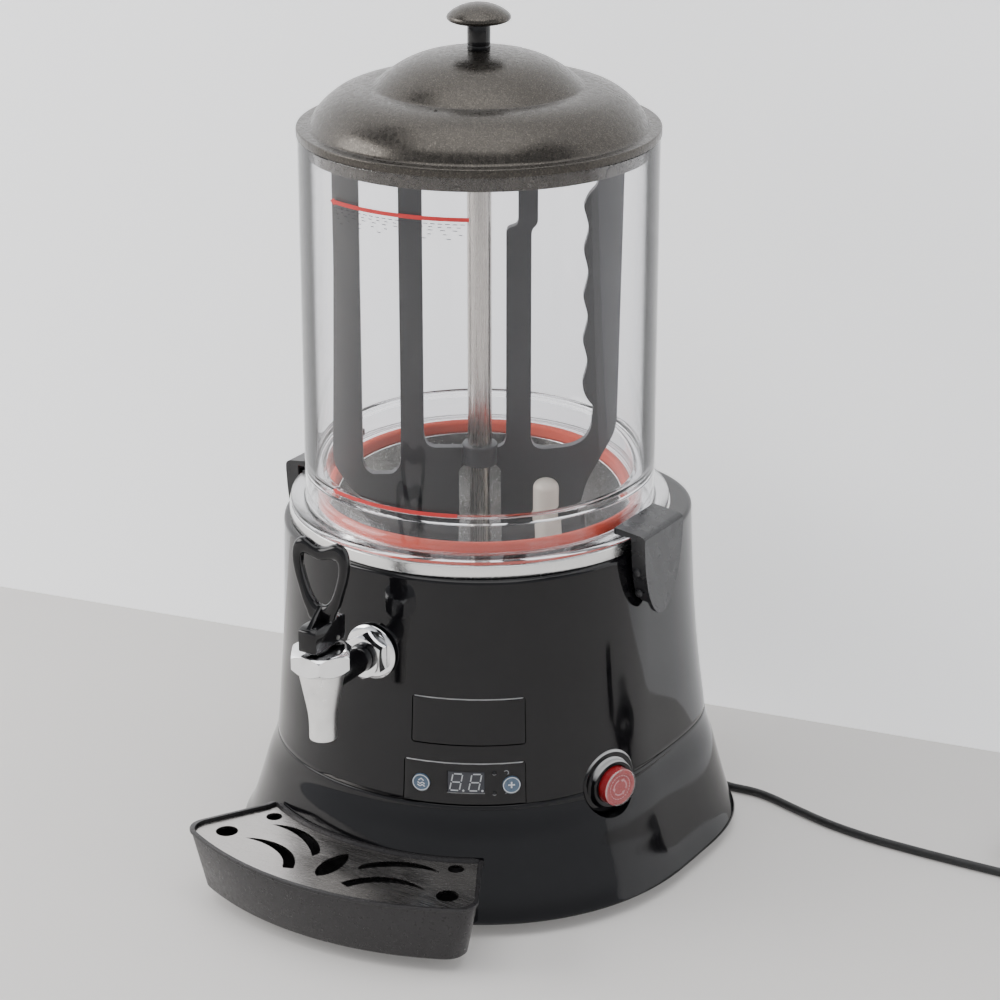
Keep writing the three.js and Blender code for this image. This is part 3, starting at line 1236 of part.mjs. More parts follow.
function cordPlug(end, direction) {
  const { half, deep, low, high, chamfer } = PLUG;
  const middle = (low + high) / 2;
  const tall = (high - low) / 2;
  const face = [
    [-half + chamfer, -tall], [half - chamfer, -tall], [half, -tall + chamfer],
    [half, tall - chamfer], [half - chamfer, tall], [-half + chamfer, tall],
    [-half, tall - chamfer], [-half, -tall + chamfer],
  ];
  let plug = sheet(face, deep);
  const boot = turned([
    [0, -PLUG.bootLength], [PLUG.boot, -PLUG.bootLength], [PLUG.bootWide, SINK], [0, SINK],
  ], SMALL);
  plug = join(plug, boot);
  for (const side of [-1, 1]) {
    plug = join(plug, rod(PLUG.pin, deep - SINK, deep + PLUG.pinLength, SMALL)
      .translate(PLUG.pinHalf * side, 0, 0));
  }
  plug = cut(plug, rod(
    PLUG.bore, -PLUG.bootLength - OVERRUN, -PLUG.bootLength + PLUG.boreDeep, SMALL,
  ));
  const heading = Math.atan2(direction.y, direction.x);
  plug.rotateX(QUARTER).rotateZ(QUARTER).rotateZ(heading);
  const back = PLUG.bootLength - PLUG.cordIn;
  return plug.translate(
    end.x + Math.cos(heading) * back, end.y + Math.sin(heading) * back, middle,
  );
}

function cordTie() {
  const { inner, outer, low, high, thick, half } = TIE;
  const ring = cut(
    block(inner, outer, -half, half, low, high),
    block(
      inner + thick, outer - thick, -half - OVERRUN, half + OVERRUN, low + thick, high - thick,
    ),
  );
  return ring.rotateZ(TIE.azimuth * DEG).translate(COIL.x, COIL.y, 0);
}

add('control_board', controlBoard(), 'board');
add('cord_gland', toFront(turned(GLAND_OUTLINE, COARSE)).rotateZ(Math.PI)
  .translate(GLAND_X, 0, GLAND_Z), 'rubber');

const cordPath = new THREE.CatmullRomCurve3(CORD_ROUTE.map(vector), false, 'centripetal');
add('power_cord', alongPath(cordPath, CORD_RADIUS, CORD_SIDES, CORD_STEPS), 'rubber');
const coilLine = coilPoints();
add('cord_coil', looseTube(coilLine, CORD_RADIUS, COIL.sides), 'rubber');
const coilEnd = coilLine[coilLine.length - 1];
const coilLead = coilEnd.clone().sub(coilLine[coilLine.length - 2]);
add('cord_plug', cordPlug(coilEnd, coilLead), 'rubber');
add('cord_tie', cordTie(), 'satin');

const coilLength = coilLine.slice(1).reduce((sum, at, i) => sum + at.distanceTo(coilLine[i]), 0);
console.error(`cord: ${(cordPath.getLength() + coilLength).toFixed(0)} mm in all, least gap of the `
  + `coil to itself ${leastGap(coilLine, CORD_RADIUS, CORD_APART).toFixed(2)} mm`);

// The origin is the middle of the machine's footprint without its cord.
for (const mesh of dispenser.children) {
  mesh.geometry.translate(0, (TRAY.reach - GLAND_END) / 2, 0);
}

export default dispenser;
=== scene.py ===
"""A table-top hot drink dispenser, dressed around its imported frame.

Every size is in millimetres from the bowl's axis (x = y = 0) and the table (z = 0), with the
front towards -Y. A piece's points are turned into metres in the row's frame as its mesh is made.
"""

from __future__ import annotations

import sys

import logging
import math
from dataclasses import dataclass, field
from enum import Enum

import bmesh
import bpy
import numpy as np
from mathutils import Matrix, Vector

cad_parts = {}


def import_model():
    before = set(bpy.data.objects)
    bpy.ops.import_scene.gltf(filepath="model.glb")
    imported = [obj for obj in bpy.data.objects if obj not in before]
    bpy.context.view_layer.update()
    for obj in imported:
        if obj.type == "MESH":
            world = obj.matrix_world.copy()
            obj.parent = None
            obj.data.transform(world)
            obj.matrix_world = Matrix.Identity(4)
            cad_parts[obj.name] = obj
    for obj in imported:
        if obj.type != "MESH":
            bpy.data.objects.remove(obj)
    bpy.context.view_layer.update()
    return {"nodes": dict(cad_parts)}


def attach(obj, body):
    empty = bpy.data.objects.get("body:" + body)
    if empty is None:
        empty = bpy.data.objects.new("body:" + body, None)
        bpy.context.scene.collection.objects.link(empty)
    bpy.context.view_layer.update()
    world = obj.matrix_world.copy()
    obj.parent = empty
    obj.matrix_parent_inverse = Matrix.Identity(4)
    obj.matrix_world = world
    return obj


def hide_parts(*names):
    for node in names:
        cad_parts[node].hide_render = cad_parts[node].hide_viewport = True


LOG = logging.getLogger("dispenser")

Array = np.ndarray
Point = tuple[float, ...]

MM = 0.001
# Where the cord leaves the housing: to the right of the middle, and height.
GLAND_X = 10.0
GLAND_HEIGHT = 30.0
AXIS_SHIFT = np.array([0.0, 29.0, 0.0])
MACHINE = "machine"

FULL_TURN = 2 * math.pi


# ------------------------------------------------------------------ numpy surfaces
def eased(outline: Array, radius: float, steps: int = 4, broad: float = 9.0) -> Array:
    """Rounds every corner of a closed outline with a quadratic curve.

    A corner that turns by less than 35 degrees belongs to a curve and is rounded as far as its
    sides allow. A sharper one is an edge and gets the small radius. A corner on the axis
    (first coordinate 0) stays as it is.

    Args:
        outline: Corners in order, shape (n, 2).
        radius: How far from an edge's corner the rounding starts.
        steps: Points on each rounded corner.
        broad: The same distance for a curve's corner.

    Returns:
        The rounded outline, shape (n * steps, 2).
    """
    here = np.asarray(outline, float)
    before = np.roll(here, 1, axis=0) - here
    after = np.roll(here, -1, axis=0) - here
    before_length = np.linalg.norm(before, axis=1, keepdims=True)
    after_length = np.linalg.norm(after, axis=1, keepdims=True)
    before_unit = before / before_length
    after_unit = after / after_length
    straight = -(before_unit * after_unit).sum(axis=1, keepdims=True)
    wanted = np.where(straight > math.cos(math.radians(35)), broad, radius)
    room = 0.48 * np.minimum(before_length, after_length)
    reach = np.minimum(wanted, room) * (np.abs(here[:, :1]) > 1e-6)
    share = np.linspace(0, 1, steps)[None, :, None]
    start = (here + before_unit * reach)[:, None, :]
    end = (here + after_unit * reach)[:, None, :]
    middle = here[:, None, :]
    curve = (1 - share) ** 2 * start + 2 * share * (1 - share) * middle + share**2 * end
    return curve.reshape(-1, 2)


def smooth_loop(points: Array, steps: int = 5) -> Array:
    """A closed curve through every point, by the cubic of each point's two neighbours.

    Args:
        points: Points in order, shape (n, 2) or (n, 3).
        steps: Points for each stretch.

    Returns:
        The curve, shape (n * steps, same width).
    """
    p = np.asarray(points, float)
    a, b, c, d = np.roll(p, 1, 0), p, np.roll(p, -1, 0), np.roll(p, -2, 0)
    t = np.arange(steps)[None, :, None] / steps
    a, b, c, d = (x[:, None, :] for x in (a, b, c, d))
    curve = 0.5 * (
        2 * b + (c - a) * t + (2 * a - 5 * b + 4 * c - d) * t**2 + (3 * b - a - 3 * c + d) * t**3
    )
    return curve.reshape(-1, p.shape[1])


def grid_faces(rows: int, columns: int, wrap_rows: bool, wrap_columns: bool) -> Array:
    """The quads of a grid of points.

    Args:
        rows: Rows of points.
        columns: Points in a row.
        wrap_rows: Whether the last row joins the first.
        wrap_columns: Whether a row's last point joins its first.

    Returns:
        Corner numbers, shape (faces, 4).
    """
    r = np.arange(rows if wrap_rows else rows - 1)[:, None]
    c = np.arange(columns if wrap_columns else columns - 1)[None, :]
    r2, c2 = (r + 1) % rows, (c + 1) % columns
    corners = (r * columns + c, r * columns + c2, r2 * columns + c2, r2 * columns + c)
    return np.stack([np.broadcast_to(k, (r.size, c.size)) for k in corners], -1).reshape(-1, 4)


def turned(outline: Array, steps: int) -> Array:
    """A closed outline of (radius, height) turned about Z: x = r cos t, y = r sin t, z = h.

    Args:
        outline: The outline, shape (n, 2).
        steps: Stops round the turn.

    Returns:
        A grid of points, shape (steps, n, 3).
    """
    angle = np.arange(steps)[:, None] * FULL_TURN / steps
    radius, height = outline[None, :, 0], outline[None, :, 1]
    return np.stack(
        [radius * np.cos(angle), radius * np.sin(angle), height + 0 * angle], axis=-1
    )


def circle(radius: float, steps: int) -> Array:
    """A circle's points in a plane."""
    angle = np.arange(steps) * FULL_TURN / steps
    return np.stack([radius * np.cos(angle), radius * np.sin(angle)], -1)


def at_azimuth(points: Array, azimuth: float, height: float = 0.0) -> Array:
    """Turns local points (right, up, outward) to face an azimuth from the front towards +X.

    Args:
        points: Local points, shape (..., 3).
        azimuth: Degrees from the front.
        height: Added to z.

    Returns:
        The points from the bowl's axis, same shape.
    """
    angle = math.radians(azimuth)
    right, up, out = points[..., 0], points[..., 1], points[..., 2]
    return np.stack(
        [
            right * math.cos(angle) + out * math.sin(angle),
            right * math.sin(angle) - out * math.cos(angle),
            up + height,
        ],
        axis=-1,
    )


def flat(outline: Array, level: float) -> Array:
    """An outline in a plane as points at one level of the third axis."""
    return np.concatenate([outline, np.full((len(outline), 1), level)], axis=1)


def slab(outline: Array, low: float, high: float, edge: float = 0.0) -> Array:
    """A flat outline made thick, with its rims drawn in a little at both faces.

    The rim is drawn in towards each point's inward normal by edge, so the faces meet the sides
    in a small slope that catches the light.

    Args:
        outline: Corners in order, shape (n, 2).
        low: The lower face.
        high: The upper face.
        edge: Width of the slope.

    Returns:
        Sections for a sweep, shape (2 or 6, n, 3).
    """
    if edge <= 0:
        return np.stack([flat(outline, low), flat(outline, high)])
    ahead = np.roll(outline, -1, axis=0) - outline
    behind = outline - np.roll(outline, 1, axis=0)
    ahead /= np.maximum(np.linalg.norm(ahead, axis=1, keepdims=True), 1e-9)
    behind /= np.maximum(np.linalg.norm(behind, axis=1, keepdims=True), 1e-9)
    along = ahead + behind
    along /= np.maximum(np.linalg.norm(along, axis=1, keepdims=True), 1e-9)
    x, y = outline[:, 0], outline[:, 1]
    turning = np.sum(x * np.roll(y, -1) - np.roll(x, -1) * y)
    inward = np.stack([-along[:, 1], along[:, 0]], -1) * np.sign(turning)
    third = edge * 0.3
    levels = [
        (low, edge), (low + third, third), (low + edge, 0), (high - edge, 0),
        (high - third, third), (high, edge),
    ]
    return np.stack([flat(outline + inward * inset, level) for level, inset in levels])


# ------------------------------------------------------------------ meshes
def make_object(name: str, points: Array, faces: list, sharp: float = 38.0) -> bpy.types.Object:
    """Makes one closed piece from points measured from the bowl's axis.

    Args:
        name: The piece's name.
        points: Points in millimetres, shape (n, 3).
        faces: Corner numbers of each face.
        sharp: Angle in degrees past which an edge is drawn sharp.

    Returns:
        The new object, at the origin and linked to the scene.
    """
    mesh = bpy.data.meshes.new(name)
    mesh.from_pydata(((points + AXIS_SHIFT) * MM).tolist(), [], faces)
    tidy = bmesh.new()
    tidy.from_mesh(mesh)
    bmesh.ops.remove_doubles(tidy, verts=tidy.verts, dist=1e-6)
    bmesh.ops.dissolve_degenerate(tidy, edges=tidy.edges, dist=1e-7)
    loose = [edge for edge in tidy.edges if edge.is_wire]
    bmesh.ops.delete(tidy, geom=loose, context="EDGES")
    bmesh.ops.recalc_face_normals(tidy, faces=tidy.faces)
    tidy.to_mesh(mesh)
    tidy.free()
    mesh.shade_smooth()
    mesh.set_sharp_from_angle(angle=math.radians(sharp))
    piece = bpy.data.objects.new(name, mesh)
    bpy.context.scene.collection.objects.link(piece)
    return piece


def from_loop(name: str, grid: Array, sharp: float = 38.0) -> bpy.types.Object:
    """A closed ring of closed sections, such as a turned outline.

    Args:
        name: The piece's name.
        grid: Points, shape (sections, points, 3).
        sharp: As in make_object.

    Returns:
        The new object.
    """
    faces = grid_faces(grid.shape[0], grid.shape[1], True, True)
    return make_object(name, grid.reshape(-1, 3), faces.tolist(), sharp)


def from_sweep(name: str, grid: Array, sharp: float = 38.0,
               caps: bool = True) -> bpy.types.Object:
    """Closed sections carried along an open path, with a flat cap at each end.

    Args:
        name: The piece's name.
        grid: Points, shape (sections, points, 3).
        sharp: As in make_object.
        caps: Off where the first and last sections have shrunk to a point.

    Returns:
        The new object.
    """
    rows, columns = grid.shape[:2]
    faces = grid_faces(rows, columns, False, True).tolist()
    if caps:
        faces.append(list(range(columns))[::-1])
        faces.append(list(range((rows - 1) * columns, rows * columns)))
    return make_object(name, grid.reshape(-1, 3), faces, sharp)


def combine(target: bpy.types.Object, others: list[bpy.types.Object], how: str,
            sharp: float = 38.0) -> bpy.types.Object:
    """Joins or cuts closed pieces and keeps the result in the first one.

    Args:
        target: The piece that is kept.
        others: Pieces that are used up.
        how: UNION, DIFFERENCE or INTERSECT.
        sharp: As in make_object.

    Returns:
        The target.
    """
    for other in others:
        step = target.modifiers.new("combine", "BOOLEAN")
        step.operation = how
        step.solver = "MANIFOLD"
        step.object = other
    graph = bpy.context.evaluated_depsgraph_get()
    made = bpy.data.meshes.new_from_object(target.evaluated_get(graph))
    old = target.data
    target.modifiers.clear()
    target.data = made
    made.name = old.name
    bpy.data.meshes.remove(old)
    for other in others:
        spent = other.data
        bpy.data.objects.remove(other)
        bpy.data.meshes.remove(spent)
    made.shade_smooth()
    made.set_sharp_from_angle(angle=math.radians(sharp))
    return target


def merge(name: str, pieces: list[bpy.types.Object]) -> bpy.types.Object:
    """Puts separate closed pieces into one object without joining their surfaces.

    Args:
        name: The new object's name.
        pieces: Pieces that are used up.

    Returns:
        The new object.
    """
    whole = bmesh.new()
    for piece in pieces:
        whole.from_mesh(piece.data)
    mesh = bpy.data.meshes.new(name)
    whole.to_mesh(mesh)
    whole.free()
    for piece in pieces:
        spent = piece.data
        bpy.data.objects.remove(piece)
        bpy.data.meshes.remove(spent)
    mesh.shade_smooth()
    mesh.set_sharp_from_angle(angle=math.radians(38))
    joined = bpy.data.objects.new(name, mesh)
    bpy.context.scene.collection.objects.link(joined)
    return joined


def lathe(name: str, outline: list[Point], steps: int, edge: float = 0.4,
          place: Point | None = None, azimuth: float | None = None,
          height: float = 0.0) -> bpy.types.Object:
    """A turned piece with eased edges, upright or on a level axis.

    Args:
        name: The piece's name.
        outline: Closed outline of (radius, distance along the axis).
        steps: Stops round the turn.
        edge: Size of the eased edges.
        place: Where the upright axis stands, (x, y).
        azimuth: When given, the axis is level and points that way.
        height: The level axis's height.

    Returns:
        The new object.
    """
    grid = turned(eased(np.array(outline, float), edge), steps)
    if azimuth is not None:
        grid = at_azimuth(grid, azimuth, height)
    if place is not None:
        grid = grid + np.array([place[0], place[1], 0.0])
    return from_loop(name, grid)


def rod(name: str, radius: float, low: float, high: float, steps: int = 32,
        edge: float = 0.0, **where: object) -> bpy.types.Object:
    """A plain round bar, used for pins and as a cutter."""
    outline = [(0, low), (radius, low), (radius, high), (0, high)]
    return lathe(name, outline, steps, edge, **where)


def soften(piece: bpy.types.Object, width: float, segments: int = 2) -> bpy.types.Object:
    """Rounds a piece's sharp edges with a bevel that keeps the flat faces' shading flat.

    Args:
        piece: The piece.
        width: The bevel's width in millimetres.
        segments: Steps across it.

    Returns:
        The same piece.
    """
    step = piece.modifiers.new("soften", "BEVEL")
    step.width = width * MM
    step.segments = segments
    step.limit_method = "ANGLE"
    step.angle_limit = math.radians(33)
    step.harden_normals = True
    return piece


def rounded_box(name: str, low: Point, high: Point, edge: float) -> bpy.types.Object:
    """A box with sloped rims, built as a slab of its plan.

    Args:
        name: The piece's name.
        low: Lowest corner.
        high: Highest corner.
        edge: Width of the slopes.

    Returns:
        The new object.
    """
    plan = np.array([[low[0], low[1]], [high[0], low[1]], [high[0], high[1]], [low[0], high[1]]])
    plan = eased(plan, edge, 4, edge) if edge > 0 else plan
    return from_sweep(name, slab(plan, low[2], high[2], edge))


# ------------------------------------------------------------------ finishes
class Recipe:
    """A material's nodes while they are being laid out.

    Patterns read Object coordinates, which are metres from the row's origin.
    """

    def __init__(self, name: str) -> None:
        """Starts a material with its surface shader.

        Args:
            name: The material's name.
        """
        self.material = bpy.data.materials.new(name)
        self.material.use_nodes = True
        self.nodes = self.material.node_tree.nodes
        self.links = self.material.node_tree.links
        self.shader = self.nodes["Principled BSDF"]
        self.output = self.nodes["Material Output"]
        self.place = self.nodes.new("ShaderNodeTexCoord").outputs["Object"]

    def set(self, **values: object) -> None:
        """Sets constants on the shader's own sockets, with _ for a space in a name."""
        for name, value in values.items():
            self.shader.inputs[name.replace("_", " ")].default_value = value

    def node(self, kind: str, inputs: dict | None = None, **settings: object) -> bpy.types.Node:
        """Adds a node.

        Args:
            kind: The node's type without its ShaderNode prefix.
            inputs: Values, or sockets to link, by input name or number.
            settings: The node's own settings.

        Returns:
            The node.
        """
        made = self.nodes.new("ShaderNode" + kind)
        for name, value in settings.items():
            setattr(made, name, value)
        for name, value in (inputs or {}).items():
            if isinstance(value, bpy.types.NodeSocket):
                self.links.new(value, made.inputs[name])
            else:
                made.inputs[name].default_value = value
        return made

    def noise(self, size: float, detail: float = 2.0, stretch: Point = (1, 1, 1)) -> object:
        """Noise whose features are about size millimetres across.

        Args:
            size: Feature size in millimetres.
            detail: Octaves.
            stretch: Scale of each axis, small along the grain.

        Returns:
            The noise's value socket.
        """
        scale = [1000.0 / size * share for share in stretch]
        moved = self.node("Mapping", {"Vector": self.place, "Scale": scale})
        made = self.node("TexNoise", {"Vector": moved.outputs[0], "Scale": 1.0, "Detail": detail})
        return made.outputs["Fac"]

    def span(self, value: object, low: float, high: float, start: float = 0.3,
             end: float = 0.7) -> object:
        """Maps a value between start and end to low and high.

        Args:
            value: The value's socket.
            low: Result at start.
            high: Result at end.
            start: Where the range starts.
            end: Where it ends.

        Returns:
            The mapped value's socket.
        """
        made = self.node("MapRange", {"Value": value, "From Min": start, "From Max": end,
                                      "To Min": low, "To Max": high})
        return made.outputs["Result"]

    def paint_highlight_on_top(self, colour: object, bright: Point) -> object:
        """Paints a highlight: turns a colour bright where the surface looks up, standing in for
        light from above.

        Args:
            colour: The colour's socket.
            bright: The painted highlight's colour, on surfaces that look up.

        Returns:
            The mixed colour's socket.
        """
        normal = self.nodes.new("ShaderNodeTexCoord").outputs["Normal"]
        up = self.node("SeparateXYZ", {"Vector": normal}).outputs["Z"]
        share = self.span(up, 0.0, 1.0, 0.35, 0.6)
        # Painted highlight: the colour is mixed towards a bright one where the normal points up,
        # standing in for light from above.
        mixed = self.node("Mix", {0: share, 6: colour, 7: (*bright, 1.0)}, data_type="RGBA")
        return mixed.outputs[2]

    def ramp(self, value: object, stops: list[tuple[float, Point]]) -> object:
        """Turns a value into a colour.

        Args:
            value: The value's socket.
            stops: Positions with their colours.

        Returns:
            The colour's socket.
        """
        made = self.node("ValToRGB", {"Fac": value})
        band = made.color_ramp
        while len(band.elements) < len(stops):
            band.elements.new(0.5)
        for element, (at, colour) in zip(band.elements, stops):
            element.position = at
            element.color = (*colour, 1.0)
        return made.outputs["Color"]

    def feed(self, name: str, socket: object) -> None:
        """Links a socket to the shader."""
        self.links.new(socket, self.shader.inputs[name])

    def bump(self, height: object, depth: float, strength: float = 1.0) -> None:
        """Links a height to the shader's normal, depth in millimetres."""
        made = self.node("Bump", {"Height": height, "Distance": depth * MM, "Strength": strength})
        self.feed("Normal", made.outputs["Normal"])


def wear(recipe: Recipe, colour: Point, lighter: float = 1.25) -> object:
    """A colour with broad, faint variation, as handling and dust leave it.

    Args:
        recipe: The material being made.
        colour: Base colour.
        lighter: How much lighter the light patches are.

    Returns:
        The colour's socket.
    """
    light = tuple(min(part * lighter + 0.0015, 1.0) for part in colour)
    return recipe.ramp(recipe.noise(38, 4), [(0.3, colour), (0.75, light)])


@dataclass(frozen=True)
class GlossPlastic:
    """High-gloss moulded plastic with a faint ripple and dust in its gloss, and where set, a
    painted highlight on surfaces that look up.
    """

    name: str
    colour: Point = (0.0036, 0.0034, 0.0042)
    rough: float = 0.06
    ripple: float = 0.004
    top_highlight: float = 0.0

    def make(self) -> bpy.types.Material:
        """Builds the material, with a painted highlight on surfaces that look up where the
        highlight value is above 0.
        """
        r = Recipe(self.name)
        colour = wear(r, self.colour)
        # Painted highlight: up-facing rims get a bright colour in place of the reflection of light
        # from above.
        if self.top_highlight:
            colour = r.paint_highlight_on_top(colour, (self.top_highlight, self.top_highlight, self.top_highlight))
        r.feed("Base Color", colour)
        r.feed("Roughness", r.span(r.noise(24, 5), self.rough * 0.85, self.rough * 1.3))
        r.set(IOR=1.41)
        r.bump(r.noise(9, 2), self.ripple)
        return r.material


@dataclass(frozen=True)
class SatinPlastic:
    """Satin moulded plastic with a fine spark-eroded grain."""

    name: str
    colour: Point = (0.018, 0.0185, 0.02)
    rough: float = 0.42
    grain: float = 0.9
    depth: float = 0.02

    def make(self) -> bpy.types.Material:
        """Builds the material."""
        r = Recipe(self.name)
        r.feed("Base Color", wear(r, self.colour, 1.35))
        r.feed("Roughness", r.span(r.noise(11, 4), self.rough - 0.05, self.rough + 0.07))
        r.set(IOR=1.5)
        r.bump(r.noise(self.grain, 3), self.depth)
        return r.material


@dataclass(frozen=True)
class SparkledPaint:
    """A baked metallic coat: a fine leathery texture with warm specks in it."""

    name: str
    colour: Point = (0.07, 0.064, 0.057)
    speck: Point = (0.17, 0.152, 0.128)
    rough: float = 0.27
    metal: float = 0.85
    texture: float = 1.1
    depth: float = 0.05

    def make(self) -> bpy.types.Material:
        """Builds the material."""
        r = Recipe(self.name)
        dark = tuple(part * 0.7 for part in self.colour)
        specks = r.ramp(r.noise(0.6, 2), [(0.4, dark), (0.56, self.colour), (0.74, self.speck)])
        r.feed("Base Color", specks)
        r.feed("Roughness", r.span(r.noise(3, 3), self.rough - 0.06, self.rough + 0.1))
        r.set(Metallic=self.metal, IOR=1.5)
        r.bump(r.noise(self.texture, 3), self.depth)
        return r.material


@dataclass(frozen=True)
class BrushedMetal:
    """Bright metal brushed along one direction."""

    name: str
    colour: Point = (0.56, 0.53, 0.5)
    rough: float = 0.24
    stretch: Point = (1.0, 1.0, 0.02)
    line: float = 0.5
    depth: float = 0.0015
    pull: float = 0.5

    def make(self) -> bpy.types.Material:
        """Builds the material."""
        r = Recipe(self.name)
        lines = r.noise(self.line, 3, self.stretch)
        dark = tuple(part * 0.93 for part in self.colour)
        r.feed("Base Color", r.ramp(lines, [(0.3, dark), (0.7, self.colour)]))
        r.feed("Roughness", r.span(lines, self.rough - 0.05, self.rough + 0.09))
        r.set(Metallic=1.0, Anisotropic=self.pull)
        r.bump(lines, self.depth)
        return r.material


@dataclass(frozen=True)
class PlatedMetal:
    """Plated or satin metal with faint wipe marks."""

    name: str
    colour: Point = (0.78, 0.79, 0.81)
    rough: float = 0.06
    spread: float = 0.05
    grain: float = 0.7
    depth: float = 0.001

    def make(self) -> bpy.types.Material:
        """Builds the material."""
        r = Recipe(self.name)
        dim = tuple(part * 0.9 for part in self.colour)
        r.feed("Base Color", r.ramp(r.noise(14, 4), [(0.3, dim), (0.6, self.colour)]))
        r.feed("Roughness", r.span(r.noise(5, 4), self.rough, self.rough + self.spread))
        r.set(Metallic=1.0)
        r.bump(r.noise(self.grain, 2), self.depth)
        return r.material


@dataclass(frozen=True)
class ClearPlastic:
    """Clear moulded plastic. Shadow rays pass with little loss, as light does in a thin wall."""

    name: str
    tint: Point = (0.985, 0.985, 0.998)
    rough: float = 0.012
    shade: float = 0.93

    def make(self) -> bpy.types.Material:
        """Builds the material."""
        r = Recipe(self.name)
        r.set(Base_Color=(*self.tint, 1.0), Transmission_Weight=1.0, IOR=1.38)
        r.feed("Roughness", r.span(r.noise(30, 3), self.rough * 0.5, self.rough * 2))
        clear = r.node("BsdfTransparent", {"Color": (self.shade,) * 3 + (1.0,)})
        ray = r.node("LightPath")
        mix = r.node("MixShader", {"Fac": ray.outputs["Is Shadow Ray"]})
        r.links.new(r.shader.outputs[0], mix.inputs[1])
        r.links.new(clear.outputs[0], mix.inputs[2])
        r.links.new(mix.outputs[0], r.output.inputs["Surface"])
        return r.material


@dataclass(frozen=True)
class Rubber:
    """Matte rubber with a soft bloom."""

    name: str
    colour: Point = (0.014, 0.014, 0.0145)
    rough: float = 0.62
    sheen: float = 0.15

    def make(self) -> bpy.types.Material:
        """Builds the material."""
        r = Recipe(self.name)
        r.feed("Base Color", wear(r, self.colour, 1.3))
        r.feed("Roughness", r.span(r.noise(6, 4), self.rough - 0.08, self.rough + 0.08))
        r.set(Sheen_Weight=self.sheen, Sheen_Roughness=0.4)
        r.bump(r.noise(0.7, 3), 0.015)
        return r.material


@dataclass(frozen=True)
class Ink:
    """Printed or painted marks, slightly uneven."""

    name: str
    colour: Point = (0.75, 0.77, 0.8)
    rough: float = 0.45
    glow: float = 0.0

    def make(self) -> bpy.types.Material:
        """Builds the material."""
        r = Recipe(self.name)
        dim = tuple(part * 0.88 for part in self.colour)
        r.feed("Base Color", r.ramp(r.noise(2.5, 3), [(0.3, dim), (0.65, self.colour)]))
        r.feed("Roughness", r.span(r.noise(3, 2), self.rough - 0.05, self.rough + 0.08))
        r.set(Emission_Color=(*self.colour, 1.0), Emission_Strength=self.glow)
        return r.material


@dataclass(frozen=True)
class TintedPlastic:
    """Coloured plastic that lets a little light in, such as a button cap; a glow above 0 is
    painted light.
    """

    name: str
    colour: Point = (0.62, 0.018, 0.02)
    through: float = 0.25
    rough: float = 0.2
    glow: float = 0.0

    def make(self) -> bpy.types.Material:
        """Builds the material."""
        r = Recipe(self.name)
        deep = tuple(part * 0.8 for part in self.colour)
        r.feed("Base Color", r.ramp(r.noise(4, 3), [(0.3, deep), (0.65, self.colour)]))
        r.feed("Roughness", r.span(r.noise(5, 3), self.rough - 0.04, self.rough + 0.05))
        r.set(Transmission_Weight=self.through, IOR=1.5, Coat_Weight=0.3, Coat_Roughness=0.05)
        # A glow above 0 paints light into the colour: the piece emits though it holds no lamp.
        r.set(Emission_Color=(*self.colour, 1.0), Emission_Strength=self.glow)
        r.bump(r.noise(1.2, 2), 0.01)
        return r.material


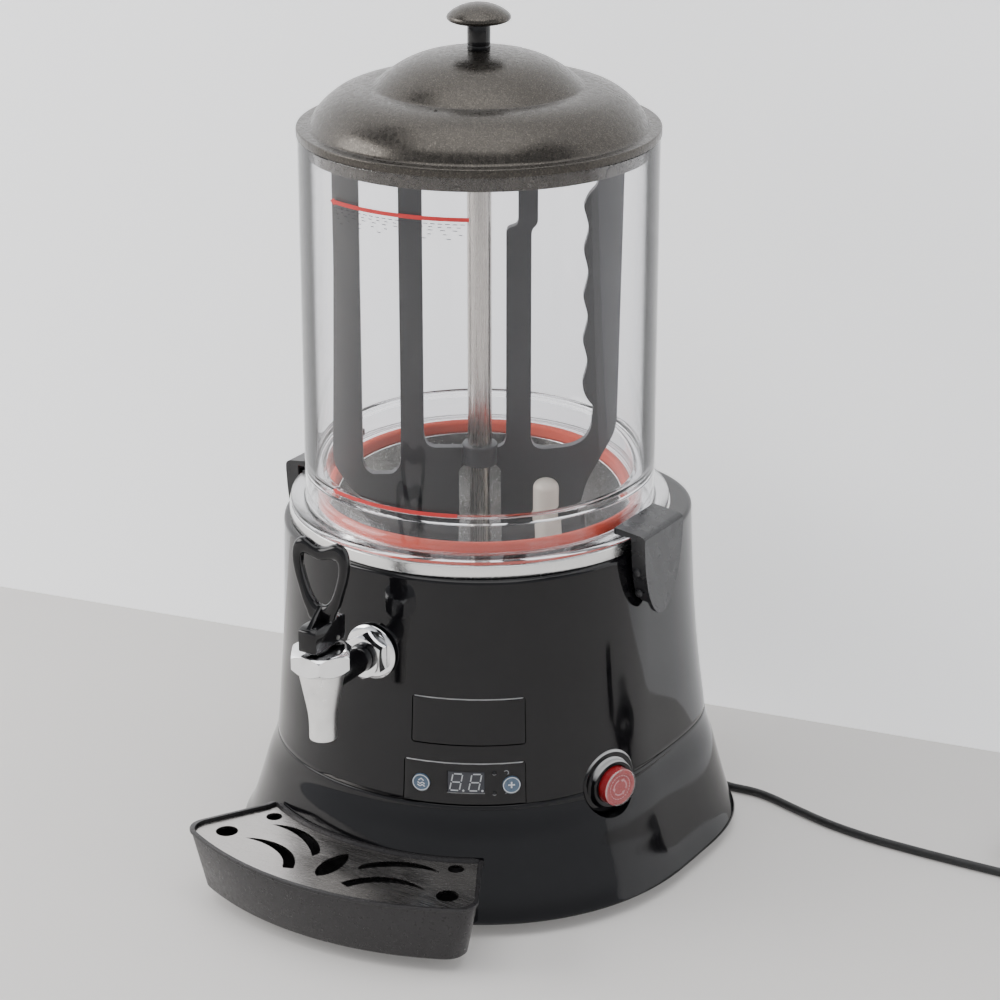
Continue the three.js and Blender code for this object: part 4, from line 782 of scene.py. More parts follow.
class Finish(Enum):
    """The finishes of the machine's pieces."""

    HOUSING = GlossPlastic("housing_gloss")
    # The panel finish paints a highlight on its up-facing rims.
    PANEL = GlossPlastic("panel_gloss", rough=0.05, ripple=0.002, top_highlight=0.5)
    HANDLE = GlossPlastic("handle_gloss", rough=0.08, ripple=0.012)
    LATCH = SatinPlastic("latch_satin", colour=(0.012, 0.012, 0.0135), rough=0.27, depth=0.01)
    STIRRER = SatinPlastic("stirrer_satin", colour=(0.013, 0.014, 0.017), rough=0.36)
    INSIDE = SatinPlastic("inside_satin", colour=(0.02, 0.02, 0.022), rough=0.5)
    LID = SparkledPaint("lid_coat")
    TRAY = SparkledPaint(
        "tray_coat", colour=(0.03, 0.0285, 0.03), speck=(0.046, 0.044, 0.045), rough=0.3,
        metal=0.3, texture=1.0, depth=0.012,
    )
    BOWL = ClearPlastic("bowl_clear")
    COVER = ClearPlastic("button_cover_clear", tint=(0.98, 0.96, 0.97), rough=0.05)
    COLUMN = BrushedMetal("column_brushed")
    RIM = BrushedMetal("tank_rim", colour=(0.86, 0.86, 0.85), rough=0.2, stretch=(0.3, 0.3, 1),
                       depth=0.002, pull=0.3)
    GRILLE = BrushedMetal("grille_brushed", colour=(0.5, 0.48, 0.465), rough=0.24, line=0.35,
                          stretch=(0.02, 1, 1), depth=0.0008)
    STEEL = BrushedMetal("inner_steel", colour=(0.5, 0.5, 0.5), rough=0.32, stretch=(1, 1, 0.1))
    SPOUT = PlatedMetal("spout_satin", colour=(0.9, 0.9, 0.89), rough=0.27, spread=0.08)
    CHROME = PlatedMetal("tap_chrome", colour=(0.93, 0.935, 0.945))
    GASKET = Rubber("gasket_red", colour=(0.62, 0.045, 0.03), rough=0.42, sheen=0.1)
    FOOT = Rubber("foot_rubber")
    CORD = Rubber("cord_rubber", colour=(0.009, 0.009, 0.0095), rough=0.5)
    PEG = SatinPlastic("peg_cream", colour=(0.62, 0.57, 0.5), rough=0.38, depth=0.006)
    KEY = TintedPlastic("key_blue", colour=(0.085, 0.14, 0.21), through=0.0, rough=0.3)
    # The stop cap's small emission is a painted glow; the button holds no lamp.
    STOP = TintedPlastic("stop_red", colour=(0.5, 0.014, 0.02), glow=0.04)
    SCREEN = GlossPlastic("screen_smoke", colour=(0.04, 0.042, 0.05), rough=0.15)
    LENS = GlossPlastic("lamp_lens", colour=(0.02, 0.021, 0.023), rough=0.12)
    MARK = Ink("white_marks")
    STOP_MARK = Ink("pink_marks", colour=(0.68, 0.3, 0.32), rough=0.4)
    DIGIT = Ink("grey_digits", colour=(0.5, 0.52, 0.54), rough=0.4)
    DIM_MARK = Ink("dim_marks", colour=(0.24, 0.25, 0.26))
    RED_LINE = Ink("red_line", colour=(0.62, 0.03, 0.03))
    DASH = Ink("dark_dashes", colour=(0.035, 0.035, 0.04))
    BOARD = SatinPlastic("board_green", colour=(0.02, 0.09, 0.035), rough=0.35)
    MOTOR = PlatedMetal("motor_grey", colour=(0.35, 0.36, 0.37), rough=0.42)

    def material(self) -> bpy.types.Material:
        """The finish's material, made once."""
        found = bpy.data.materials.get(self.value.name)
        return found or self.value.make()


def paint(piece: bpy.types.Object, finish: Finish) -> bpy.types.Object:
    """Gives a piece one finish all over."""
    piece.data.materials.clear()
    piece.data.materials.append(finish.material())
    return piece


@dataclass
class Dressing:
    """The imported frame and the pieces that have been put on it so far."""

    nodes: dict[str, bpy.types.Object]

    def put(self, piece: bpy.types.Object, finish: Finish, body: str = MACHINE,
            replaces: tuple[str, ...] = ()) -> bpy.types.Object:
        """Paints a piece, hangs it on its body and reports it.

        Args:
            piece: The piece.
            finish: Its finish.
            body: The body that carries it.
            replaces: Nodes that it stands for.

        Returns:
            The piece.
        """
        paint(piece, finish)
        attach(piece, body)
        if replaces:
            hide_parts(*replaces)
        LOG.info("%s on %s: %d points", piece.name, body, len(piece.data.vertices))
        return piece

    def put_curve(self, curve: bpy.types.Object, finish: Finish,
                  replaces: tuple[str, ...]) -> None:
        """Paints a curve and hangs it on the machine.

        Args:
            curve: The curve.
            finish: Its finish.
            replaces: Nodes that it stands for.
        """
        curve.data.materials.append(finish.material())
        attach(curve, MACHINE)
        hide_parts(*replaces)
        LOG.info("%s on %s", curve.name, MACHINE)

    def keep(self, finish: Finish, *names: str) -> None:
        """Gives carried-over nodes a finish and leaves their shape alone."""
        for name in names:
            paint(self.nodes[name], finish)
            LOG.info("%s kept as %s", name, finish.value.name)


# ------------------------------------------------------------------ housing
PLAN = np.array([
    # height, half width, reach to the front, reach to the rear, power of the rear's curve
    [9, 162.5, 163.5, 150, 3], [20, 156.5, 158.5, 149.5, 3], [40, 149.5, 152.5, 147.5, 3],
    [60, 143.5, 147, 145, 3], [83, 136.2, 139.6, 143, 3], [120, 133.2, 136.2, 141.5, 2.8],
    [150, 131.2, 133.7, 140, 2.7], [180, 130.2, 132.5, 139, 2.6], [236.9, 129, 130.6, 137, 2.5],
])
FRONT_POWER = 2.12
REAR_START = 20.0


def plan_at(heights: Array) -> Array:
    """The plan's sizes at any heights, on cubics that pass through the table's rows.

    A row's slope is the harmonic mean of the rates on its two sides, so nothing overshoots.

    Args:
        heights: Heights, shape (n,).

    Returns:
        Half width, front, rear and power at each height, shape (n, 4).
    """
    z, rows = PLAN[:, 0], PLAN[:, 1:]
    step = np.diff(z)[:, None]
    rate = np.diff(rows, axis=0) / step
    product = rate[:-1] * rate[1:]
    total = np.where(product > 0, rate[:-1] + rate[1:], 1.0)
    slope = np.zeros_like(rows)
    slope[1:-1] = np.where(product > 0, 2 * product / total, 0.0)
    slope[0], slope[-1] = rate[0], rate[-1]
    at = np.clip(np.asarray(heights, float), z[0], z[-1])
    low = np.clip(np.searchsorted(z, at, side="right") - 1, 0, len(z) - 2)
    t = ((at - z[low]) / (z[low + 1] - z[low]))[:, None]
    width = step[low]
    return (
        (2 * t**3 - 3 * t**2 + 1) * rows[low]
        + (t**3 - 2 * t**2 + t) * width * slope[low]
        + (3 * t**2 - 2 * t**3) * rows[low + 1]
        + (t**3 - t**2) * width * slope[low + 1]
    )


def plan_rings(path: Array, front_steps: int = 110, rear_steps: int = 64) -> Array:
    """Rings of the housing, each |x/a|^p + |y/b|^p = 1 at the front and again at the rear.

    Args:
        path: Height and inset of each ring, shape (n, 2).
        front_steps: Points over the front half.
        rear_steps: Points over the rear.

    Returns:
        Points, shape (n, front_steps + rear_steps, 3).
    """
    path = np.asarray(path, float)
    plan = plan_at(path[:, 0])
    inset = path[:, 1]
    half, front = plan[:, 0] - inset, plan[:, 1] - inset
    rear, power = plan[:, 2] - inset - REAR_START, plan[:, 3]
    a = np.linspace(0, math.pi, front_steps)[None, :]
    b = np.linspace(0, math.pi, rear_steps)[None, :]
    bend = 2 / FRONT_POWER
    square = (2 / power)[:, None]
    x_front = half[:, None] * np.sign(np.cos(a)) * np.abs(np.cos(a)) ** bend
    y_front = -front[:, None] * np.abs(np.sin(a)) ** bend
    x_rear = -half[:, None] * np.sign(np.cos(b)) * np.abs(np.cos(b)) ** square
    y_rear = REAR_START + rear[:, None] * np.abs(np.sin(b)) ** square
    x = np.concatenate([x_front, x_rear], axis=1)
    y = np.concatenate([y_front, y_rear], axis=1)
    return np.stack([x, y, np.broadcast_to(path[:, :1], x.shape)], axis=-1)


def reach_at(azimuth: Array, heights: Array) -> Array:
    """How far the housing's front half is from the axis at azimuths and heights."""
    plan = plan_at(np.ravel(heights)).reshape(*np.shape(heights), 4)
    angle = np.radians(azimuth)
    across = np.abs(np.sin(angle) / plan[..., 0]) ** FRONT_POWER
    along = np.abs(np.cos(angle) / plan[..., 1]) ** FRONT_POWER
    return (across + along) ** (-1 / FRONT_POWER)


def on_skin(places: Array, inset: Array | float) -> Array:
    """Points on the housing's front skin, moved in by an inset.

    Args:
        places: Azimuth in degrees and height, shape (..., 2).
        inset: How far in from the outside.

    Returns:
        Points from the bowl's axis, shape (..., 3).
    """
    azimuth, height = places[..., 0], places[..., 1]
    reach = reach_at(azimuth, height) - inset
    angle = np.radians(azimuth)
    return np.stack([reach * np.sin(angle), -reach * np.cos(angle), height], axis=-1)


def rounded_area(start: float, end: float, low: float, high: float, corner: float) -> Array:
    """A rectangle of azimuths and heights with round corners, as an outline.

    Args:
        start: First azimuth in degrees.
        end: Last azimuth.
        low: Lowest height.
        high: Highest height.
        corner: Corner radius in millimetres.

    Returns:
        The outline in degrees and millimetres, shape (n, 2).
    """
    degree = math.radians(1) * 137.0
    wide, tall = (end - start) * degree, high - low
    turn = np.linspace(0, math.pi / 2, 6)
    arc = np.stack([np.cos(turn), np.sin(turn)], -1) * corner
    pieces = []
    for quarter, (sx, sy) in enumerate([(1, 1), (-1, 1), (-1, -1), (1, -1)]):
        c, s = math.cos(quarter * math.pi / 2), math.sin(quarter * math.pi / 2)
        middle = np.array([sx * (wide / 2 - corner), sy * (tall / 2 - corner)])
        pieces.append(arc @ np.array([[c, s], [-s, c]]) + middle)
    corners = np.concatenate(pieces)
    ahead = np.roll(corners, -1, 0)
    share = np.linspace(0, 1, 7)[:-1, None, None]
    long = np.linalg.norm(ahead - corners, axis=1) > corner
    edges = [
        (here + (there - here) * share[:, 0]) if stretch else here[None]
        for here, there, stretch in zip(corners, ahead, long)
    ]
    outline = np.concatenate(edges)
    return outline / [degree, 1] + [(start + end) / 2, (low + high) / 2]


def skin_plate(name: str, outline: Array, outer: float, inner: float, edge: float = 0.25,
               rings: int = 9) -> bpy.types.Object:
    """A curved plate that follows the skin, from rings of one outline shrunk to its middle.

    Ring k is the middle plus a share s of the way to the outline. The rings run out over the
    inner face, across the eased edge, and back over the outer face.

    Args:
        name: The piece's name.
        outline: Azimuths and heights, shape (n, 2).
        outer: Inset of the outer face.
        inner: Inset of the inner face.
        edge: Width of the eased edge.
        rings: Rings on each face.

    Returns:
        The new object.
    """
    middle = outline.mean(axis=0)
    wide = np.ptp(outline[:, 1]) / 2
    grow = np.linspace(0, 1, rings)
    last = 1 - edge / wide
    shares = np.concatenate([grow, [1.0], grow[::-1] * last])
    insets = np.concatenate([np.full(rings, inner), [outer + edge], np.full(rings, outer)])
    places = middle + (outline - middle)[None] * shares[:, None, None]
    return from_sweep(name, on_skin(places, insets[:, None]), caps=False)


@dataclass
class Housing:
    """The two shells, their seam, the openings in them and what stands under them."""

    base: float = 9.0
    gland_boss: Point = (12.0, -149.9, -139.0)
    gland_bore: Point = (7.3, -160.0, -130.0)
    seam_low: float = 82.85
    seam_high: float = 83.15
    top: float = 236.9
    wall: float = 3.0
    opening: float = 118.0
    edge: float = 2.4
    groove: float = 0.55
    recess: float = 1.5
    label: Point = (12.5, 44.2, 124.0, 156.5)
    display: Point = (10.5, 44.0, 83.15, 112.5)
    corner: float = 2.4
    pocket_radius: float = 22.6
    pocket_seat: float = 133.0
    pocket_bore: float = 14.8
    stop_azimuth: float = 70.0
    stop_height: float = 84.0
    stem_height: float = 181.0
    stem_hole: float = 9.1

    def lower(self) -> bpy.types.Object:
        """Lofts the lower shell as a ring whose section is a wall with eased edges.

        Returns:
            The shell.
        """
        up = np.linspace(self.base + 1.2, self.seam_low - self.groove, 46)
        outside = [(z, 0.0) for z in up]
        path = [
            (self.base, self.wall), (self.base, 1.2), (self.base + 0.35, 0.35), *outside,
            (self.seam_low - 0.12, 0.25), (self.seam_low, self.groove + 0.1),
            (self.seam_low, self.wall),
            *[(z, self.wall) for z in np.linspace(self.seam_low - 4, self.base + 4, 10)],
        ]
        rings = plan_rings(np.array(path))
        return from_loop("housing_lower", rings.transpose(1, 0, 2))

    def upper(self) -> bpy.types.Object:
        """Lofts the upper shell, whose rounded top edge runs in to the round opening.

        The top's rings go straight from the plan to a circle at the same bearings.

        Returns:
            The shell.
        """
        quarter = np.linspace(0, math.pi / 2, 6)
        rounding = np.stack([
            self.top - self.edge * (1 - np.sin(quarter)), self.edge * (1 - np.cos(quarter)),
        ], -1)
        up = np.linspace(self.seam_high + self.groove, self.top - self.edge, 60)[:-1]
        outside = np.concatenate([
            [[self.seam_high, self.groove + 0.1], [self.seam_high + 0.12, 0.25]],
            np.stack([up, up * 0], -1), rounding,
        ])
        outer = plan_rings(outside)
        rim = outer[-1]
        bearing = rim[:, :2] / np.linalg.norm(rim[:, :2], axis=1, keepdims=True)
        round_rim = np.concatenate([bearing * self.opening, rim[:, 2:]], axis=1)
        shares = np.linspace(0.08, 1, 8)[:, None, None]
        top = rim + (round_rim - rim) * shares
        under = top[::-1] - [0, 0, self.wall]
        low_inner = np.linspace(self.top - self.wall, self.seam_high, 14)
        inner = plan_rings(np.stack([low_inner, np.full(14, self.wall)], -1))
        rings = np.concatenate([outer, top, under, inner])
        return from_loop("housing_upper", rings.transpose(1, 0, 2))

    def stop_rod(self, radius: float, start: float, end: float) -> bpy.types.Object:
        """A cutter on the stop button's axis."""
        return rod("cutter", radius, start, end, 72, azimuth=self.stop_azimuth,
                   height=self.stop_height)

    def stop_boss(self, low: float, high: float) -> bpy.types.Object:
        """The thick wall behind the stop button, between two heights.

        Args:
            low: Lowest height.
            high: Highest height.

        Returns:
            A body that follows the skin just inside it.
        """
        boss = self.stop_rod(26.0, 126.3, 150.0)
        path = [(z, 0.6) for z in np.linspace(low, high, 12)]
        return combine(boss, [from_sweep("cutter", plan_rings(np.array(path)))], "INTERSECT")

    def cut_panel(self, shell: bpy.types.Object) -> bpy.types.Object:
        """Cuts the two recesses of the front and the tap's hole.

        Args:
            shell: The upper shell.

        Returns:
            The same shell.
        """
        areas = []
        for start, end, low, high in (self.label, self.display):
            below = 1.0 if low > self.seam_high else 4.0
            area = rounded_area(start, end, low - below + 1.0, high, self.corner)
            areas.append(skin_plate("cutter", area, -6.0, self.recess, 0.0, 12))
        hole = rod("cutter", self.stem_hole, 100, 160, 40, azimuth=0.0, height=self.stem_height)
        return combine(shell, [*areas, hole], "DIFFERENCE")

    def gland_rod(self, radius: float, start: float, end: float) -> bpy.types.Object:
        """A rod on the line on which the cord leaves the housing.

        Args:
            radius: Its radius.
            start: Where it starts, counted forwards from the middle.
            end: Where it ends.

        Returns:
            The rod.
        """
        piece = rod("cutter", radius, start, end, 48, azimuth=0.0, height=GLAND_HEIGHT)
        piece.data.transform(Matrix.Translation((GLAND_X * MM, 0, 0)))
        return piece

    def dress(self, on: Dressing) -> None:
        """Builds the shells and gives what stands under them its finish.

        Args:
            on: The frame.
        """
        lower = combine(self.lower(), [self.stop_boss(self.base + 2, self.seam_low)], "UNION")
        upper = combine(self.upper(), [self.stop_boss(self.seam_high, self.top - 4)], "UNION")
        for shell in (lower, upper):
            cutters = [self.stop_rod(self.pocket_radius, self.pocket_seat, 190.0),
                       self.stop_rod(self.pocket_bore, 100.0, 190.0)]
            combine(shell, cutters, "DIFFERENCE")
        boss = self.gland_rod(*self.gland_boss)
        bore = self.gland_rod(*self.gland_bore)
        combine(combine(lower, [boss], "UNION"), [bore], "DIFFERENCE")
        self.cut_panel(upper)
        on.put(lower, Finish.HOUSING, replaces=("lower_shell",))
        on.put(upper, Finish.HOUSING, replaces=("upper_shell",))
        on.keep(Finish.INSIDE, "base_pan", "stop_contact_block", "stop_nut")
        on.keep(Finish.STEEL, *(f"foot_screw_{count}" for count in range(1, 5)))
        self.feet(on)

    def feet(self, on: Dressing) -> None:
        """Turns the four rubber feet, each with a ring groove and its screw's bore.

        Args:
            on: The frame.
        """
        outline = [
            (0, 4), (2.3, 4), (2.3, 9.2), (13, 9.2), (13, 6.4), (12.5, 6), (12.5, 5), (13, 4.6),
            (13, 1.6), (11.6, 0), (7.5, 0), (7, 0.6), (5, 0.6), (4.5, 0), (0, 0),
        ]
        for count, (x, y) in enumerate([(-108, -78), (108, -78), (-108, 92), (108, 92)], 1):
            foot = lathe(f"rubber_foot_{count}", outline, 48, 0.3, place=(x, y))
            on.put(foot, Finish.FOOT, replaces=(f"foot_{count}",))


# ------------------------------------------------------------------ tank, bowl and lid
@dataclass
class Vessel:
    """The heated tank, its gasket, the clear bowl and the level marks on it."""

    steps: int = 144
    tank: list = field(default_factory=lambda: [
        (7.25, 168.8), (93.5, 168.8), (98.7, 174.4), (98.7, 244.3), (126.7, 244.3),
        (126.7, 237.2), (127.9, 237.2), (127.9, 245.5), (97.5, 245.5), (97.5, 174.8), (93, 170),
        (7.25, 170),
    ])
    gasket: list = field(default_factory=lambda: [
        (98.8, 245.8), (105.2, 245.8), (105.2, 251.6), (103.8, 253), (100.2, 253), (98.8, 251.6),
    ])
    bowl: list = field(default_factory=lambda: [
        (113.6, 245.8), (127, 245.8), (127, 249.5), (117.9, 249.5), (117.1, 250.3),
        (117.1, 495.4), (116.5, 496), (114.2, 496), (113.6, 495.4), (113.6, 275.5),
        (112.3, 272.3), (109.2, 271), (105.5, 271), (105.5, 246.1), (108, 246.1), (108, 268),
        (113.6, 268),
    ])
    mark_radius: float = 117.12
    mark_thick: float = 0.12
    upper_mark: Point = (-21.0, 28.7, 470.0)
    lower_mark: Point = (-22.8, 24.6, 275.5)

    def strip(self, name: str, start: float, end: float, low: float, high: float,
              slant: float = 0.0) -> bpy.types.Object:
        """A thin strip printed on the bowl, (r sin a, -r cos a, z) over azimuths a.

        Args:
            name: The piece's name.
            start: First azimuth in degrees.
            end: Last azimuth.
            low: Lower edge.
            high: Upper edge.
            slant: How much the first azimuth's edges close up, as a share.

        Returns:
            The strip.
        """
        count = max(3, int(abs(end - start) * 1.2))
        azimuth = np.radians(np.linspace(start, end, count))[:, None]
        share = np.linspace(1 - slant, 1, count)[:, None]
        inner, outer = self.mark_radius, self.mark_radius + self.mark_thick
        reach = np.array([inner, outer, outer, inner])[None]
        middle, half = (low + high) / 2, (high - low) / 2
        height = middle + np.array([-half, -half, half, half])[None] * share
        grid = np.stack([reach * np.sin(azimuth), -reach * np.cos(azimuth), height], -1)
        return from_sweep(name, grid)

    def dashes(self, name: str, start: float, end: float, rows: list[tuple[float, float, float]],
               ) -> bpy.types.Object:
        """Rows of short level dashes, as a liquid is drawn.

        Args:
            name: The piece's name.
            start: First azimuth in degrees.
            end: Last azimuth.
            rows: Height, dash length and pitch of each row, in millimetres and degrees.

        Returns:
            The dashes as one piece.
        """
        pieces = []
        for height, length, pitch in rows:
            shift = 0.5 * pitch * (len(pieces) % 2)
            first = np.arange(start + shift, end - length, pitch)
            pieces += [
                self.strip("dash", at, at + length, height - 0.22, height + 0.22) for at in first
            ]
        return merge(name, pieces)

    def mark(self, on: Dressing, name: str, place: Point, rows: list) -> None:
        """Draws one level line: a red strip with a point at its left, and dashes under it.

        Args:
            on: The frame.
            name: Start of the pieces' names.
            place: First azimuth, last azimuth and height.
            rows: Rows of dashes, their heights counted from the line.
        """
        start, end, height = place
        line = self.strip(f"{name}_line", start + 2.2, end, height - 1.3, height + 1.3)
        tip = self.strip(f"{name}_tip", start, start + 2.2, height - 2.4, height + 2.4, 0.97)
        on.put(merge(f"{name}_red_line", [line, tip]), Finish.RED_LINE)
        dashes = self.dashes(
            f"{name}_dashes", start + 1, end - 0.5,
            [(height + rise, length, pitch) for rise, length, pitch in rows],
        )
        on.put(dashes, Finish.DASH)

    def dress(self, on: Dressing) -> None:
        """Builds the vessel's pieces.

        Args:
            on: The frame.
        """
        tank = lathe("tank_shell", self.tank, self.steps, 0.7)
        port = rod("cutter", 5.6, 90, 105, 32, azimuth=0.0, height=181.0)
        combine(tank, [port], "DIFFERENCE")
        on.put(tank, Finish.RIM, replaces=("heated_tank",))
        on.keep(Finish.STEEL, "water_jacket", "heating_element")
        on.put(lathe("gasket_ring", self.gasket, self.steps, 0.6), Finish.GASKET,
               replaces=("tank_gasket",))
        on.put(lathe("clear_bowl", self.bowl, self.steps, 0.5), Finish.BOWL,
               replaces=("bowl",))
        self.mark(on, "max", self.upper_mark, [
            (-3.2, 1.5, 2.3), (-5.2, 1.2, 2.9), (-7.2, 1.5, 3.8), (-9.8, 1.1, 4.8),
            (-12.6, 1.4, 7.6),
        ])
        self.mark(on, "min", self.lower_mark, [(-3.0, 1.5, 2.3), (-4.8, 1.2, 3.1)])


@dataclass
class Lid:
    """The domed lid, its stem, knob and screw."""

    steps: int = 144
    dome: list = field(default_factory=lambda: [
        (2.3, 550), (8, 549.8), (20, 548.9), (30, 547.4), (40, 544.9), (50, 540.6), (60, 534),
        (66.3, 528.3), (67.9, 527.1), (76, 526.7), (84, 525.1), (92, 521.9), (100, 515.8),
        (106, 509.3), (109.3, 502.6), (110.4, 501.6), (117.4, 501.6), (118, 501), (118, 496.3),
        (113, 496.3), (113, 486.5), (110.5, 486.5), (110.5, 497.4), (107.2, 499.6),
        (103.6, 507.8), (98, 513.7), (90.8, 519.4), (83.2, 522.4), (66.6, 524.3), (58.3, 531.6),
        (48.8, 538), (39.1, 542.2), (19.7, 546.2), (2.3, 547.2),
    ])
    stem: list = field(default_factory=lambda: [
        (2.3, 550.3), (7.5, 550.3), (7.5, 553), (7.1, 553.2), (7.5, 553.4), (7.5, 567.6),
        (5, 567.6), (5, 571.7), (2.3, 571.7),
    ])
    knob: list = field(default_factory=lambda: [
        (5.3, 567.9), (17.4, 567.9), (20.2, 569.3), (20.8, 570.8), (20.2, 572.4), (17, 575.2),
        (12, 577.9), (6, 579.6), (0, 580), (0, 572), (5.3, 572),
    ])
    vent: Point = (13.8, -73.5, 1.3)

    def dress(self, on: Dressing) -> None:
        """Builds the lid's pieces.

        Args:
            on: The frame.
        """
        dome = lathe("domed_lid", self.dome, self.steps, 0.45)
        x, y, radius = self.vent
        combine(dome, [rod("cutter", radius, 515, 535, 24, place=(x, y))], "DIFFERENCE")
        on.put(dome, Finish.LID, "lid", ("lid",))
        on.put(lathe("knob_stem", self.stem, 48, 0.3), Finish.HANDLE, "lid",
               ("lid_stem",))
        on.put(lathe("knob_cap", self.knob, 96, 0.6), Finish.LID, "lid",
               ("lid_knob",))
        on.keep(Finish.STEEL, "lid_screw")


# ------------------------------------------------------------------ stirrer and drive
@dataclass
class Stirrer:
    """The stirring frame with its three windows, the column, the peg and the drive."""

    azimuth: float = 31.75
    thick: float = 6.0
    outer: list = field(default_factory=lambda: [
        (-14.3, 178), (-14.3, 260), (-10, 264), (10, 264), (14.3, 260), (14.3, 178), (62, 178),
        (66, 183), (67.2, 222), (68.8, 236), (72.7, 251), (84.5, 273), (91.6, 286), (93.6, 296),
        (96.4, 463), (96.4, 478), (92.4, 482), (-94, 482), (-98, 478), (-98, 400), (-99.5, 330),
        (-101, 274), (-100.2, 265), (-95.3, 257), (-86, 244), (-74, 237), (-68.5, 228),
        (-66, 183), (-62, 178),
    ])
    left_gap: list = field(default_factory=lambda: [
        (-80, 462), (-80, 266), (-78, 260.5), (-73.5, 257.3), (-60.2, 257.3), (-55.7, 260.5),
        (-53.7, 266), (-53.7, 462),
    ])
    middle_gap: list = field(default_factory=lambda: [
        (-38, 462), (-38, 283), (-35.8, 278), (-31.5, 275.7), (12.6, 275.7), (16, 277.4),
        (17.8, 281.5), (17.8, 424), (19, 426.6), (24.6, 428.6), (25.8, 431), (25.8, 462),
    ])
    right_gap: list = field(default_factory=lambda: [
        (38.8, 462), (38.8, 431), (37.6, 428.4), (35.6, 426.6), (34.6, 424), (34.6, 281.5),
        (36.6, 276.6), (41.6, 274.4), (62, 276.4), (71, 281), (75.6, 288.6), (77, 304.6),
        (71.2, 312), (69, 320), (71.2, 328), (73, 335), (71.2, 343), (69, 350), (71.2, 358),
        (73, 366), (71.2, 373), (69, 380), (71.2, 388), (73, 396), (71.2, 404), (69, 412),
        (71.2, 419), (73, 426), (71.2, 433.6), (69, 441), (72, 449), (78, 455), (79.5, 462),
    ])

    def plate(self, outline: list, thick: float, broad: float = 6.0) -> bpy.types.Object:
        """A flat shape in the stirrer's plane, made thick about it.

        Args:
            outline: Corners, across and up.
            thick: Thickness.
            broad: How far shallow corners are rounded.

        Returns:
            The plate.
        """
        shape = eased(np.array(outline, float), 1.6, 5, broad)
        return from_sweep("plate", self.stand(slab(shape, -thick / 2, thick / 2)))

    def stand(self, points: Array) -> Array:
        """Turns (across, up, behind) into the stirrer's plane."""
        upright = np.stack([points[..., 0], points[..., 2], points[..., 1]], -1)
        return self.turn(upright)

    def turn(self, points: Array) -> Array:
        """Turns points about the axis to the stirrer's azimuth."""
        angle = math.radians(self.azimuth)
        x, y, z = points[..., 0], points[..., 1], points[..., 2]
        return np.stack([
            x * math.cos(angle) - y * math.sin(angle), x * math.sin(angle) + y * math.cos(angle),
            z,
        ], -1)

    def frame(self) -> bpy.types.Object:
        """Cuts the windows, joins the ring and hub, and bores them for the column.

        Returns:
            The frame.
        """
        whole = self.plate(self.outer, self.thick)
        gaps = [self.plate(gap, self.thick + 4) for gap in
                (self.left_gap, self.middle_gap, self.right_gap)]
        combine(whole, gaps, "DIFFERENCE")
        ring = lathe("ring", [(0, 264), (12, 264), (12, 278), (0, 278)], 64, 1.4)
        hub = lathe("hub", [(0, 464.3), (12.5, 464.3), (12.5, 484), (0, 484)], 64, 1.4)
        combine(whole, [ring, hub], "UNION")
        bores = [rod("cutter", 7.35, 262, 280, 48), rod("cutter", 4.3, 456, 480.3, 48),
                 rod("cutter", 8.5, 456, 464.3, 48)]
        combine(whole, bores, "DIFFERENCE")
        whole.name = "stirring_frame"
        return soften(whole, 0.8)

    def peg(self) -> bpy.types.Object:
        """Turns the domed peg and stands it against the frame.

        Returns:
            The peg.
        """
        dome = np.linspace(0, math.pi / 2, 10)
        cap = [(8.7 * math.cos(a) ** 0.8, 251 + 6 * math.sin(a)) for a in dome]
        outline = eased(np.array([(0, 188), (8.7, 188), *cap[:-1], (0, 257)]), 0.8, 3)
        grid = turned(outline, 48) + [44.8, -12.0, 0.0]
        return from_loop("stirring_peg", self.turn(grid))

    def dress(self, on: Dressing) -> None:
        """Builds the stirrer's pieces and finishes the drive under it.

        Args:
            on: The frame.
        """
        on.put(self.frame(), Finish.STIRRER, "stirrer", ("stirrer_frame",))
        sleeve = [(7.25, 278.3), (8.2, 278.3), (8.2, 464), (7.25, 464)]
        on.put(lathe("column_sleeve", sleeve, 96, 0.2), Finish.COLUMN,
               "stirrer", ("stirrer_sleeve",))
        on.put(self.peg(), Finish.PEG, "stirrer", ("stirrer_peg",))
        pipe = [(4.9, 146), (6.92, 146), (6.92, 462), (4.9, 462)]
        on.put(lathe("stand_pipe", pipe, 96, 0.2), Finish.COLUMN,
               replaces=("standpipe",))
        on.keep(Finish.STEEL, "drive_shaft")
        on.keep(Finish.MOTOR, "gearbox", "motor")


